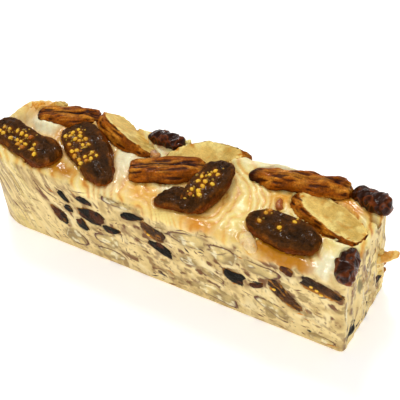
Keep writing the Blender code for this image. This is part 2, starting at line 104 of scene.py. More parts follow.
# The colours.
CUT_CREAM = (240, 214, 148)
CUT_SHADE = (202, 170, 102)
CUT_GREY = (166, 130, 72)
NUT_HALO = (166, 136, 80)
FRUIT_HALO = (128, 90, 46)
END_GROOVE = (148, 98, 34)
DRAG_YELLOW = (224, 200, 118)
DRAG_BROWN = (130, 88, 44)
TOP_CREAM = (255, 231, 144)
WHITE = (255, 245, 202)
CARAMEL = (242, 174, 64)
CARAMEL_DEEP = (196, 110, 14)
ORANGE = (222, 144, 36)
AMBER = (196, 128, 18)
HAZE = (206, 170, 112)
FIG_DARK = (42, 23, 2)
FIG_SKIN = (76, 42, 8)
FIG_FLANK = (112, 50, 6)
FIG_RIM = (148, 80, 8)
SEED_GOLD = (252, 196, 46)
SEED_AMBER = (186, 100, 4)
PECAN_BROWN = (156, 80, 2)
PECAN_DARK = (48, 11, 0)
PECAN_BRIGHT = (210, 136, 40)
PECAN_FLESH = (240, 202, 112)
PECAN_GREY = (204, 166, 80)
RAISIN_DARK = (46, 16, 0)
RAISIN_EDGE = (130, 58, 6)
FRUIT_BLACK = (16, 11, 1)
FRUIT_BROWN = (72, 31, 2)
FRUIT_AMBER = (184, 116, 16)
CUT_NUT = (220, 192, 120)
CUT_NUT_SHADE = (158, 130, 72)
NUT_SKIN = (96, 44, 12)
BIT_BROWN = (114, 68, 28)
SPECK_BROWN = (132, 84, 40)

# What tints the top: x, y, half length, half width, heading in degrees, colour, strength.
TOP_TINTS = (
    # A caramel patch round the white lump, laid before its white tint: caramel, and painted shade round the
    # lump.
    (-50.0, 3.0, 10.0, 5.0, -13.0, CARAMEL, 0.7),
    (-52.2, 3.0, 5.6, 2.8, -13.0, WHITE, 1.6),
    (-66.0, 4.0, 5.0, 4.0, 40.0, TOP_CREAM, 1.0),
    (-57.0, 9.5, 6.0, 2.6, 18.0, CARAMEL, 1.0),
    (-53.6, 12.5, 3.0, 1.4, -40.0, PECAN_FLESH, 0.8),
    (-44.5, 2.0, 3.0, 2.4, 30.0, CARAMEL, 0.8),
    (-40.5, -5.0, 2.6, 5.0, 0.0, HAZE, 0.8),
    (-38.0, 7.5, 5.5, 2.2, -20.0, CARAMEL, 0.9),
    (-35.0, 10.0, 4.0, 1.6, -30.0, WHITE, 0.7),
    (-63.0, 3.0, 6.0, 5.0, 40.0, HAZE, 0.5),
    (-37.0, -10.5, 6.0, 3.0, -20.0, AMBER, 0.8),
    (-20.0, -2.0, 10.0, 4.2, -84.0, WHITE, 1.0),
    (-14.0, 6.5, 5.0, 2.6, 20.0, WHITE, 0.7),
    (-8.0, -9.5, 10.0, 5.0, -10.0, CARAMEL, 0.5),
    (3.0, -13.5, 6.0, 3.4, 0.0, TOP_CREAM, 0.6),
    (0.5, -5.0, 4.0, 1.6, 15.0, WHITE, 0.9),
    (14.0, -13.5, 6.0, 2.4, 0.0, ORANGE, 0.7),
    (17.0, -4.0, 4.0, 9.0, -10.0, CARAMEL, 0.4),
    (20.5, 4.0, 8.0, 5.0, -30.0, TOP_CREAM, 0.3),
    (25.0, -8.0, 5.0, 5.0, 0.0, TOP_CREAM, 0.8),
    (40.0, -13.5, 13.0, 2.6, -4.0, AMBER, 1.0),
    (31.0, 4.5, 4.0, 3.0, 0.0, CARAMEL, 0.7),
    (53.0, -9.5, 3.0, 8.0, -6.0, WHITE, 0.8),
    (48.5, -4.0, 8.0, 2.0, -20.0, TOP_CREAM, 0.8),
    (50.0, 11.0, 6.0, 2.0, -16.0, ORANGE, 0.8),
    (30.0, 15.2, 17.0, 2.2, 4.0, WHITE, 0.8),
)


def linear(colour):
    """The light that a seen colour sends back, from 0 to 1."""
    share = np.asarray(colour, float) / 255.0
    return np.where(share <= 0.04045, share / 12.92, ((share + 0.055) / 1.055) ** 2.4)


def bell(distance):
    """1 at no distance, falling smoothly to 0."""
    return np.exp(-distance * distance)


def step(value, low, high):
    """Rises smoothly from 0 at low to 1 at high."""
    share = np.clip((value - low) / (high - low), 0.0, 1.0)
    return share * share * (3.0 - 2.0 * share)


def towards(colour, other, share):
    """Each row of colour, moved to the other seen colour by its share."""
    return colour + (linear(other) - colour) * np.clip(share, 0.0, 1.0)[:, None]


def lattice(cells, seed):
    """A repeatable value from -1 to 1 for each whole-numbered cell."""
    whole = 0xFFFFFFFF
    bits = (cells[..., 0] * 73856093) ^ (cells[..., 1] * 19349663) ^ (cells[..., 2] * 83492791)
    bits = (bits + seed * 40503) & whole
    bits = ((bits ^ (bits >> 15)) * 73244475) & whole
    bits = ((bits ^ (bits >> 13)) * 83492791) & whole
    return ((bits ^ (bits >> 16)) & 0xFFFF) / 32767.5 - 1.0


def smooth_noise(points, seed):
    """Values that vary smoothly from -1 to 1, one unit apart."""
    cells = np.floor(points).astype(np.int64)
    part = points - cells
    part = part * part * (3.0 - 2.0 * part)
    total = np.zeros(len(points))
    for corner in np.ndindex(2, 2, 2):
        corner = np.array(corner)
        weight = np.prod(np.where(corner, part, 1.0 - part), axis=1)
        total += weight * lattice(cells + corner, seed)
    return total


def fractal(points, pitch, seed=0, octaves=3):
    """Cloudy variation from about -1 to 1. The pitch is in millimetres, one number or one for each axis."""
    total, share, whole = 0.0, 1.0, 0.0
    for octave in range(octaves):
        total = total + share * smooth_noise(points / np.asarray(pitch) * 2.0 ** octave, seed + octave)
        whole += share
        share *= 0.5
    return NOISE_GAIN * total / whole


def ridged(points, pitch, seed=0, octaves=2):
    """Creases: near 1 along winding lines, and lower between them."""
    return 1.0 - 2.0 * np.abs(fractal(points, pitch, seed, octaves))


def shell(cells):
    """The surface of a box of cells: its lattice points, its side and top quads, and its base as one face."""
    stride = np.array([(cells[1] + 1) * (cells[2] + 1), cells[2] + 1, 1])
    quads = []
    for axis in range(3):
        a, b = (axis + 1) % 3, (axis + 2) % 3
        first, second = np.meshgrid(np.arange(cells[a]), np.arange(cells[b]), indexing="ij")
        for side in (0, cells[axis]):
            if axis == 2 and side == 0:
                continue
            corner = side * stride[axis] + first * stride[a] + second * stride[b]
            ring = [corner, corner + stride[a], corner + stride[a] + stride[b], corner + stride[b]]
            if side == 0:
                ring.reverse()
            quads.append(np.stack(ring, axis=-1).reshape(-1, 4))
    used, index = np.unique(np.concatenate(quads), return_inverse=True)
    points = np.stack([used // stride[0], used % stride[0] // stride[1], used % stride[1]], axis=1)
    rim = [(i, 0) for i in range(cells[0])] + [(cells[0], j) for j in range(cells[1])]
    rim += [(i, cells[1]) for i in range(cells[0], 0, -1)] + [(0, j) for j in range(cells[1], 0, -1)]
    base = [int(np.searchsorted(used, i * stride[0] + j * stride[1])) for i, j in reversed(rim)]
    return points, [*index.reshape(-1, 4).tolist(), base]


def top_height(x, y):
    """Height of the block's top, with its lumps, smears and dips."""
    across = (y + HALF_WIDTH) / (2.0 * HALF_WIDTH)
    height = TOP_FRONT + (TOP_BACK - TOP_FRONT) * across
    for middle_x, middle_y, long, wide, heading, rise in TOP_RELIEF.values():
        height = height + rise * patch_at(x, y, middle_x, middle_y, long, wide, heading)
    return height


def patch_at(x, y, middle_x, middle_y, long, wide, heading):
    """1 in the middle of an oval patch, fading to 0 around it."""
    turn = math.radians(heading)
    dx, dy = x - middle_x, y - middle_y
    u = (dx * math.cos(turn) + dy * math.sin(turn)) / long
    v = (dy * math.cos(turn) - dx * math.sin(turn)) / wide
    return bell(np.hypot(u, v))


def rounded(points):
    """Moves points of the sharp block on to the block with rounded edges. Returns them and the way out."""
    low = np.array([NOSE_START - NOSE_REACH, -HALF_WIDTH, 0.0])
    high = np.array([CUT_END, HALF_WIDTH, TOP_FRONT])
    near = np.array([END_EDGE + TOP_EDGE, TOP_EDGE, BASE_EDGE])
    far = np.array([END_EDGE, TOP_EDGE, TOP_EDGE])
    core = np.clip(points, low + near, high - far)
    radius = np.where(points < core, near, far)
    out = (points - core) / radius
    out /= np.linalg.norm(out, axis=1)[:, None]
    return core + out * radius, out


def block_points(lattice_points):
    """The block's surface without its fine relief, and the way out of it."""
    span = lattice_points / np.array(CELLS)
    low = np.array([NOSE_START - NOSE_REACH, -HALF_WIDTH, 0.0])
    high = np.array([CUT_END, HALF_WIDTH, TOP_FRONT])
    points, out = rounded(low + span * (high - low))
    lift = points[:, 2] / TOP_FRONT
    along = np.clip((NOSE_START - points[:, 0]) / NOSE_REACH, 0.0, 1.0)
    across = points[:, 1] / HALF_WIDTH
    nose = NOSE_START - NOSE_REACH * along * np.sqrt(1.0 - 0.5 * across ** 2)
    x = np.where(along > 0.0, nose, points[:, 0])
    y = HALF_WIDTH * across * np.sqrt(1.0 - 0.5 * along ** 2)
    spots = np.stack([x, y, points[:, 2]], axis=1)
    rough = np.array([noise.noise(Vector(spot) / ROUGHNESS_PITCH) for spot in spots])
    upright = np.maximum(out[:, 2], 0.0)
    steady = np.minimum(1.0, lift / STEADY_BASE)
    side = SIDE_ROUGHNESS * rough * steady * (1.0 - upright)
    z = points[:, 2] + (top_height(x, y) - TOP_FRONT) * lift ** RELIEF_FADE + TOP_ROUGHNESS * rough * upright
    drifts = np.stack([y / RIDGE_PITCH, z / RIDGE_DRIFT], axis=1)
    wander = np.array([noise.noise(Vector((RIDGE_SAMPLE, *drift))) for drift in drifts])
    wave = np.sin(TURN * y / RIDGE_PITCH + z / RIDGE_SLANT)
    drawn = RIDGE_DEPTH * (RIDGE_WANDER * wander + RIDGE_WAVE * wave)
    x = x + out[:, 0] * side + drawn * np.maximum(out[:, 0], 0.0) ** 2 * steady
    middle, _, reach = TOP_RELIEF["back_lip"][:3]
    lean = LIP_OVERHANG * bell((x - middle) / reach) * bell((lift - 1.0) / LIP_DEPTH)
    y = y + out[:, 1] * side + lean * np.maximum(out[:, 1], 0.0)
    z = np.where(lattice_points[:, 2] == 0, 0.0, z)
    return np.stack([x, y, z], axis=1), out


def make_mesh(name, points, faces):
    """A smooth mesh, still in millimetres."""
    mesh = bpy.data.meshes.new(name)
    mesh.from_pydata(points.tolist(), [], faces)
    mesh.polygons.foreach_set("use_smooth", [True] * len(mesh.polygons))
    mesh.update()
    return mesh


def faces_of(mesh):
    return [list(face.vertices) for face in mesh.polygons]


def normals_of(mesh):
    found = np.zeros(len(mesh.vertices) * 3, np.float32)
    mesh.vertex_normals.foreach_get("vector", found)
    return found.reshape(-1, 3).astype(float)


def place(mesh, points):
    mesh.vertices.foreach_set("co", points.astype(np.float32).ravel())
    mesh.update()


def add_object(name, data):
    """Puts a mesh, a camera or a lamp into the scene."""
    made = bpy.data.objects.new(name, data)
    bpy.context.scene.collection.objects.link(made)
    return made


def add_piece(name, mesh, points, material, paint, wet, nodes=(), cut=None):
    """Turns a finished mesh into a piece in metres, with its colours, how wet it is and where it is cut.

    Wet and cut are one number for the piece or one for each point.
    """
    place(mesh, points * MM)
    colours = np.column_stack([paint, np.ones(len(paint))]).astype(np.float32)
    mesh.attributes.new("paint", "FLOAT_COLOR", "POINT").data.foreach_set("color", colours.ravel())
    for key, values in (("wet", wet), ("cut", cut)):
        if values is not None:
            attribute = mesh.attributes.new(key, "FLOAT", "POINT")
            attribute.data.foreach_set("value", np.full(len(points), values, np.float32))
    mesh.materials.append(material)
    piece = add_object(name, mesh)
    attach(piece, "root")
    if nodes:
        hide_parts(*nodes)
    return piece


def tree_of(points, faces):
    return BVHTree.FromPolygons([Vector(p) for p in points], faces)


def add_node(tree, kind, **values):
    """A shader node. Values name its properties, or its inputs with _ for a space."""
    node = tree.nodes.new(kind)
    for key, value in values.items():
        if hasattr(node, key):
            setattr(node, key, value)
        else:
            node.inputs[key.replace("_", " ")].default_value = value
    return node


# How rough the noise of a material is, and the range in which nearly all of its values lie.
TEXTURE_ROUGHNESS = 0.55
TEXTURE_RANGE = (0.3, 0.7)
# How far the coarse grain is warped, how much it changes the roughness, and how much of it a cut face shows.
GRAIN_WARP = 0.6
GRAIN_ROUGHNESS = 0.06
CUT_GRAIN = 0.35
# Where in the coarse grain syrup gathers, and how rough it is.
SYRUP_RANGE = (0.48, 0.60)
SYRUP_ROUGHNESS = 0.10
# Specks in the cut faces: pitch, stretch, size, the noise from which they show, colour.
SPECKS = (
    (2.6, (0.40, 1.0, 1.15), 0.15, 0.50, SPECK_BROWN),
    (1.4, (0.55, 1.0, 1.10), 0.12, 0.54, NUT_SKIN),
    (4.2, (0.60, 1.0, 1.10), 0.24, 0.52, CUT_NUT_SHADE),
)
SPECK_TILT = math.radians(18.0)
# Their edges: the pitch of the noise in them, how uneven it makes them, and how soft they are.
SPECK_EDGE_PITCH = 0.8
SPECK_UNEVEN = 0.10
SPECK_SOFTNESS = 0.08
# How wide a group of specks is in specks, how softly it ends, and how strongly specks colour.
SPECK_GROUP = 3.0
SPECK_GROUP_SOFTNESS = 0.05
SPECK_STRENGTH = 0.75


def texture(tree, pitch, detail=3.0, warp=0.0):
    """Noise in the piece's own space. The pitch is in millimetres."""
    place_node = add_node(tree, "ShaderNodeTexCoord")
    pattern = add_node(tree, "ShaderNodeTexNoise", Scale=1.0 / (pitch * MM), Detail=detail)
    pattern.inputs["Roughness"].default_value = TEXTURE_ROUGHNESS
    pattern.inputs["Distortion"].default_value = warp
    tree.links.new(place_node.outputs["Object"], pattern.inputs["Vector"])
    return pattern.outputs["Fac"]


def spread(tree, value, low, high, out_low, out_high):
    """Maps a value from one range to another."""
    node = add_node(tree, "ShaderNodeMapRange")
    for key, number in zip(("From Min", "From Max", "To Min", "To Max"), (low, high, out_low, out_high)):
        node.inputs[key].default_value = number
    tree.links.new(value, node.inputs["Value"])
    return node.outputs["Result"]


def combined(tree, a, b, kind="MULTIPLY"):
    """Two values, each a socket or a number, multiplied or joined as the kind says."""
    node = add_node(tree, "ShaderNodeMath", operation=kind)
    for socket, value in zip(node.inputs, (a, b)):
        if isinstance(value, (int, float)):
            socket.default_value = value
        else:
            tree.links.new(value, socket)
    return node.outputs[0]


def mixed(tree, colour, other, share):
    """A colour mixed with a fixed seen colour by a share."""
    node = add_node(tree, "ShaderNodeMix", data_type="RGBA")
    tree.links.new(share, node.inputs[0])
    tree.links.new(colour, node.inputs[6])
    node.inputs[7].default_value = (*linear(other), 1.0)
    return node.outputs[2]


def add_specks(tree, cut, colour):
    """Shreds of nut skin and grey nut paste in the cut faces, drawn out along the bar."""
    place_node = add_node(tree, "ShaderNodeTexCoord")
    for pitch, stretch, size, shown_from, other in SPECKS:
        mapping = add_node(tree, "ShaderNodeMapping")
        mapping.inputs["Scale"].default_value = stretch
        mapping.inputs["Rotation"].default_value = (0.0, SPECK_TILT, 0.0)
        cells = add_node(tree, "ShaderNodeTexVoronoi", Scale=1.0 / (pitch * MM))
        tree.links.new(place_node.outputs["Object"], mapping.inputs["Vector"])
        tree.links.new(mapping.outputs["Vector"], cells.inputs["Vector"])
        ragged = spread(tree, texture(tree, SPECK_EDGE_PITCH), *TEXTURE_RANGE, -SPECK_UNEVEN, SPECK_UNEVEN)
        near = combined(tree, cells.outputs["Distance"], ragged, "ADD")
        fleck = spread(tree, near, size, size + SPECK_SOFTNESS, 1.0, 0.0)
        group = texture(tree, SPECK_GROUP * pitch, detail=1.0)
        some = spread(tree, group, shown_from, shown_from + SPECK_GROUP_SOFTNESS, 0.0, 1.0)
        share = combined(tree, combined(tree, fleck, some), combined(tree, cut, SPECK_STRENGTH))
        colour = mixed(tree, colour, other, share)
    return colour


def food_material(name, grain, fine, rough, bump, shine, coat=0.0, glow=None, speckled=False):
    """Painted colour broken up by grain, gloss where it is wet, and a fine relief.

    Grain and fine are each a strength and a pitch. Rough is the roughness and its share where wet. Bump is
    the height of the two grains. Glow is a weight, a radius for each colour and a reach.
    """
    material = bpy.data.materials.new("food_" + name)
    material.use_nodes = True
    tree = material.node_tree
    shader = tree.nodes["Principled BSDF"]
    paint = add_node(tree, "ShaderNodeAttribute", attribute_name="paint")
    wet = add_node(tree, "ShaderNodeAttribute", attribute_name="wet").outputs["Fac"]
    cut = add_node(tree, "ShaderNodeAttribute", attribute_name="cut").outputs["Fac"]
    coarse_noise = texture(tree, grain[1], warp=GRAIN_WARP)
    fine_noise = texture(tree, fine[1], detail=2.0)
    shade = combined(
        tree,
        spread(tree, coarse_noise, *TEXTURE_RANGE, 1.0 - grain[0], 1.0 + grain[0]),
        spread(tree, fine_noise, *TEXTURE_RANGE, 1.0 - fine[0], 1.0 + fine[0]),
    )
    calm = combined(tree, combined(tree, shade, -1.0, "ADD"), spread(tree, cut, 0.0, 1.0, 1.0, CUT_GRAIN))
    tint = add_node(tree, "ShaderNodeMix", data_type="RGBA", blend_type="MULTIPLY")
    tint.inputs[0].default_value = 1.0
    tree.links.new(paint.outputs["Color"], tint.inputs[6])
    tree.links.new(combined(tree, calm, 1.0, "ADD"), tint.inputs[7])
    colour = add_specks(tree, cut, tint.outputs[2]) if speckled else tint.outputs[2]
    tree.links.new(colour, shader.inputs["Base Color"])
    dry = spread(tree, coarse_noise, *TEXTURE_RANGE, rough[0] - GRAIN_ROUGHNESS, rough[0] + GRAIN_ROUGHNESS)
    roughness = combined(tree, dry, spread(tree, wet, 0.0, 1.0, 1.0, rough[1]))
    tree.links.new(roughness, shader.inputs["Roughness"])
    heights = [combined(tree, grains, high) for grains, high in zip((coarse_noise, fine_noise), bump)]
    relief = add_node(tree, "ShaderNodeBump", Strength=1.0, Distance=MM)
    tree.links.new(combined(tree, *heights, "ADD"), relief.inputs["Height"])
    tree.links.new(relief.outputs["Normal"], shader.inputs["Normal"])
    if glow:
        shader.inputs["Subsurface Weight"].default_value = glow[0]
        shader.inputs["Subsurface Radius"].default_value = glow[1]
        shader.inputs["Subsurface Scale"].default_value = glow[2] * MM
    shader.inputs["Specular IOR Level"].default_value = shine
    syrup = combined(tree, wet, spread(tree, coarse_noise, *SYRUP_RANGE, 0.0, coat))
    tree.links.new(syrup, shader.inputs["Coat Weight"])
    shader.inputs["Coat Roughness"].default_value = SYRUP_ROUGHNESS
    return material


LOOKS = {
    "nougat": {
        "grain": (0.07, 2.6), "fine": (0.05, 0.5), "rough": (0.40, 0.25), "bump": (0.16, 0.05),
        "shine": 0.25, "coat": 0.8, "glow": (0.2, (1.0, 0.8, 0.5), 1.0), "speckled": True,
    },
    "fig": {
        "grain": (0.35, 1.6), "fine": (0.30, 0.40), "rough": (0.42, 0.3), "bump": (0.45, 0.22),
        "shine": 0.06, "coat": 0.6,
    },
    "seed": {
        "grain": (0.12, 0.8), "fine": (0.06, 0.3), "rough": (0.30, 0.5), "bump": (0.03, 0.02),
        "shine": 0.4, "glow": (0.25, (1.0, 0.6, 0.1), 0.4),
    },
    "pecan": {
        "grain": (0.34, 1.3), "fine": (0.34, 0.42), "rough": (0.50, 0.5), "bump": (0.26, 0.16),
        "shine": 0.08, "coat": 0.2,
    },
    "pecan_cut": {
        "grain": (0.10, 1.4), "fine": (0.10, 0.4), "rough": (0.46, 0.25), "bump": (0.10, 0.06),
        "shine": 0.35, "glow": (0.2, (1.0, 0.8, 0.45), 0.8),
    },
    "raisin": {
        "grain": (0.30, 1.4), "fine": (0.15, 0.4), "rough": (0.24, 0.5), "bump": (0.30, 0.06),
        "shine": 0.12, "coat": 0.5,
    },
    "dark_fruit": {
        "grain": (0.35, 1.4), "fine": (0.25, 0.4), "rough": (0.40, 0.5), "bump": (0.30, 0.12),
        "shine": 0.05, "coat": 0.3,
    },
}
materials = {name: food_material(name, **look) for name, look in LOOKS.items()}
draw = random.Random(SEED)
shade_draw = random.Random(SEED + 1)


def form(middle, turn, size, blunt, taper, bend, **more):
    """What shapes a lump. Turn is heading, pitch and roll in degrees, size is length, width and height."""
    shared = {"middle": middle, "turn": turn, "size": size, "blunt": blunt, "taper": taper, "bend": bend}
    return {**shared, **more}


# The toppings. A fig's seeds lie along its band, from one x and y to another, as shares of half the length
# and half the width.
FIGS = {
    "fig_left": form(
        (-54.0, -6.5, 32.2), (-14.0, 0.0, 8.0), (28.6, 11.0, 6.4), 3.4, 0.06, 1.0,
        dish=0.30, dish_width=0.62, seeds=17, band=(-0.66, 0.0, 0.70, -0.02), band_width=2.4,
    ),
    "fig_kite": form(
        (-31.0, -3.0, 32.6), (-35.0, 0.0, 4.0), (29.0, 12.8, 6.6), 2.1, -0.26, -1.0,
        dish=0.22, dish_width=0.70, seeds=22, band=(-0.72, -0.15, 0.34, -0.25), band_width=3.2,
    ),
    "fig_folded": form(
        (10.2, -1.6, 34.2), (82.0, 9.0, 0.0), (21.0, 10.6, 6.0), 2.3, 0.10, 0.0,
        dish=0.26, dish_width=0.62, seeds=12, band=(-0.45, 0.05, 0.62, 0.10), band_width=2.4,
    ),
    "fig_lens": form(
        (37.4, -6.5, 32.5), (-4.0, 0.0, 6.0), (23.0, 11.4, 6.8), 2.2, 0.10, 1.2,
        dish=0.16, dish_width=0.5, seeds=5, band=(-0.62, 0.10, 0.40, -0.05), band_width=3.6,
    ),
}
FOLD_LOBE = form(
    (5.2, -8.8, 32.2), (8.0, 0.0, 10.0), (15.6, 7.6, 6.2), 2.2, 0.0, -0.8, dish=0.12, dish_width=0.5,
)
# Breaks are flat faces: the way each faces, with X along the heading, how far from the middle it lies, and
# whether it shows pale flesh.
PECANS = {
    "pecan_left": form(
        (-47.0, 9.0, 32.6), (21.0, 0.0, 4.0), (21.5, 8.8, 6.2), 2.6, 0.0, 0.6,
        groove=0.26, wrinkle=0.05, lumps=0.35, dark_tip=0.9, breaks=((0.95, 0.25, 0.2, 9.6, 0.0),),
    ),
    "pecan_slice_left": form(
        (-25.6, 9.8, 32.0), (-21.0, 3.0, 0.0), (27.0, 10.4, 11.0), 2.4, -0.18, 0.8,
        groove=0.0, wrinkle=0.03, breaks=((0.06, 0.62, 0.78, 1.9, 1.0), (-0.98, 0.1, 0.1, 10.8, 0.0)),
    ),
    "pecan_middle": form(
        (-6.0, 0.8, 32.6), (27.0, 0.0, -2.0), (25.0, 10.2, 6.6), 2.8, 0.04, 0.5,
        groove=0.24, wrinkle=0.03, breaks=((-0.99, 0.04, 0.1, 10.4, 0.0),),
    ),
    "pecan_wedge_back": form(
        (3.0, 11.4, 32.4), (30.0, -2.0, 0.0), (26.0, 11.0, 9.0), 2.0, 0.1, 0.0,
        groove=0.0, wrinkle=0.03,
        breaks=((-0.08, -0.30, 0.95, 1.7, 1.0), (0.2, -0.95, 0.1, 4.6, 0.0), (0.39, 0.92, 0.1, 4.4, 0.0)),
    ),
    "pecan_back_right": form(
        (34.0, 12.4, 33.5), (12.0, 0.5, 3.0), (31.0, 8.2, 6.6), 2.6, 0.16, 0.4,
        groove=0.12, wrinkle=0.10, lumps=0.55, dark_tip=1.0, breaks=((0.98, 0.1, 0.15, 13.8, 0.0),),
    ),
    "pecan_slice_right": form(
        (46.2, 4.0, 31.4), (-16.0, 0.0, 0.0), (26.0, 11.6, 9.6), 2.4, 0.0, -0.8,
        groove=0.0, wrinkle=0.03, breaks=((0.1, 0.20, 0.97, 2.2, 1.0), (0.98, 0.1, 0.1, 12.0, 0.0)),
    ),
}
RAISINS = {
    "raisin_back": form(
        (-12.3, 12.4, 33.4), (-3.0, 0.0, 0.0), (12.0, 5.4, 4.6), 3.4, 0.05, 0.3, lobes=0.13,
    ),
    "raisin_corner": form(
        (58.2, -9.6, 31.6), (-74.0, 0.0, 26.0), (12.2, 6.0, 6.2), 2.6, -0.12, 0.8, lobes=0.12,
    ),
    "raisin_back_right": form(
        (55.0, 14.2, 34.1), (-14.0, 5.0, 10.0), (13.0, 6.4, 5.6), 2.6, 0.1, 0.5, lobes=0.12,
    ),
}
CHIPS = {
    "chip_brown": form(
        (31.3, 2.8, 32.0), (-66.0, 0.0, 10.0), (4.8, 2.4, 2.6), 2.6, 0.2, 0.2,
        lobes=0.05, colour=(168, 92, 34),
    ),
    "chip_cream": form(
        (29.6, -12.9, 30.9), (-38.0, 0.0, 30.0), (7.8, 3.8, 3.6), 2.6, -0.1, 0.0,
        lobes=0.05, colour=(238, 206, 146),
    ),
    "chip_pink": form(
        (-12.2, 5.2, 32.9), (-27.0, 0.0, 0.0), (4.2, 3.0, 2.4), 2.4, 0.0, 0.0,
        lobes=0.05, colour=(176, 138, 106),
    ),
    "pecan_shard_end": form(
        (61.0, 10.8, 17.0), (30.0, 4.0, 35.0), (9.0, 3.6, 2.0), 2.2, -0.2, 0.3,
        lobes=0.04, colour=(222, 160, 60), ragged=0.45,
    ),
}
SURFACE_PITCH = 4.0
SURFACE_ROUGHNESS = 0.25
RAISIN_ROUGHNESS = 0.5
NOISE_APART = (0.0, 31.0, 67.0)
GROOVE_WIDTH = 0.30
CREASES = 9.0
CREASE_TWIST = 2.0
LOBES_ALONG = 7.0
LOBES_ROUND = 3.0
LOBE_TWIST = 4.0
LOBE_SHIFT = 1.7
FIG_SEED_RADIUS = 0.72
FIG_SEED_SINK = 0.12
SEED_SLOPE = 0.6
SEED_SIZES = (0.85, 1.1)
SEED_STRETCH = np.array((1.15, 0.9, 0.9))
SEED_RAGGED = 0.12
TRIES_PER_SEED = 60
SMALL_SEEDS_EACH = 3
SMALL_SEED_RADII = (0.22, 0.50)
SMALL_SEED_TONES = (0.20, 0.75)
SMALL_SEED_SINK = 0.35
SMALL_SEED_RAGGED = 0.2
# How high above a fig the search for a small seed's place starts.
SMALL_SEED_DROP = 8.0
# Where a fig's top turns over to its flank, in radians from straight up, how wide the lip is there, and the
# hollow beyond it: how far off and how wide.
FIG_LIP = 1.0
FIG_LIP_WIDTH = 0.16
FIG_HOLLOW = 0.45
FIG_HOLLOW_WIDTH = 0.25
# How far pulp colours round a seed.
PULP_REACH = 0.95

# How many facets a lump has round and along.
LUMP_FACETS = (96, 90)
CHIP_FACETS = (40, 30)
CHIP_WET = 0.4


def placement(spec):
    """Takes a lump from its own axes to its place on the bar."""
    heading, pitch, roll = (math.radians(angle) for angle in spec["turn"])
    turn = Matrix.Rotation(heading, 4, "Z") @ Matrix.Rotation(-pitch, 4, "Y") @ Matrix.Rotation(roll, 4, "X")
    return Matrix.Translation(Vector(spec["middle"])) @ turn


def lump(name, spec, facets, section, roughness=SURFACE_ROUGHNESS):
    """A closed lump along its own X axis. Returns mesh, points, and how far round and along each lies."""
    around, along = facets
    s = np.cos(np.linspace(0.0, math.pi, along + 1))[1:-1]
    s, angle = (grid.ravel() for grid in np.meshgrid(s, np.arange(around) * TURN / around, indexing="ij"))
    s, angle = np.append(s, (1.0, -1.0)), np.append(angle, (0.0, 0.0))
    length, width, height = spec["size"]
    full = np.maximum(0.0, 1.0 - np.abs(s) ** spec["blunt"]) ** (1.0 / spec["blunt"])
    full = full * (1.0 + spec["taper"] * s) * section(angle, s)
    y = 0.5 * width * full * np.cos(angle) + spec["bend"] * (s * s - 0.5)
    local = np.stack([0.5 * length * s, y, 0.5 * height * full * np.sin(angle)], axis=1)
    apart = Vector(spec["middle"])
    local = local + roughness * np.array([unevenness(Vector(p) / SURFACE_PITCH + apart) for p in local])
    matrix = np.array(placement(spec))
    points = local @ matrix[:3, :3].T + matrix[:3, 3]
    return make_mesh(name, points, ringed_faces(along - 1, around)), points, angle, s


def ringed_faces(rings, around):
    """Faces over rings of points, closed by a point before the first ring and a point after the last."""
    grid = np.arange(rings * around).reshape(rings, around)
    nexts = np.roll(grid, -1, axis=1)
    faces = np.stack([grid[:-1], grid[1:], nexts[1:], nexts[:-1]], axis=-1).reshape(-1, 4).tolist()
    faces += [[grid.size, grid[0, i], nexts[0, i]] for i in range(around)]
    faces += [[grid.size + 1, nexts[-1, i], grid[-1, i]] for i in range(around)]
    return faces


def unevenness(point):
    """A smooth random shift, the same each time for the same point."""
    return [noise.noise(point + Vector((apart, 0.0, 0.0))) for apart in NOISE_APART]


def fig_section(spec):
    """A fig's outline: dished along its top."""
    def section(angle, s):
        dished = spec["dish"] * bell((angle - UPWARD) / spec["dish_width"])
        return 1.0 - dished * (1.0 - 0.5 * s * s)
    return section


def pecan_section(spec):
    """A pecan's outline: a groove along its top, and wrinkles round it."""
    def section(angle, s):
        groove = spec["groove"] * bell((angle - UPWARD) / GROOVE_WIDTH)
        return 1.0 - groove + spec["wrinkle"] * np.sin(CREASES * s + CREASE_TWIST * angle)
    return section


def lobed_section(spec):
    """A raisin's or a bit's outline: swellings here and there."""
    def section(angle, s):
        swelling = np.sin(LOBES_ALONG * s + LOBE_SHIFT) * np.cos(LOBES_ROUND * angle + LOBE_TWIST * s)
        return 1.0 + spec["lobes"] * swelling
    return section


def painted(base, count, *layers):
    """The base colour for each of so many points, under layers of other colours, each with its share."""
    paint = np.tile(linear(base), (count, 1))
    for colour, share in layers:
        paint = towards(paint, colour, share)
    return paint


def local_coordinates(points, spec):
    """Points of the bar in a lump's own axes."""
    matrix = np.array(placement(spec).inverted())
    return points @ matrix[:3, :3].T + matrix[:3, 3]


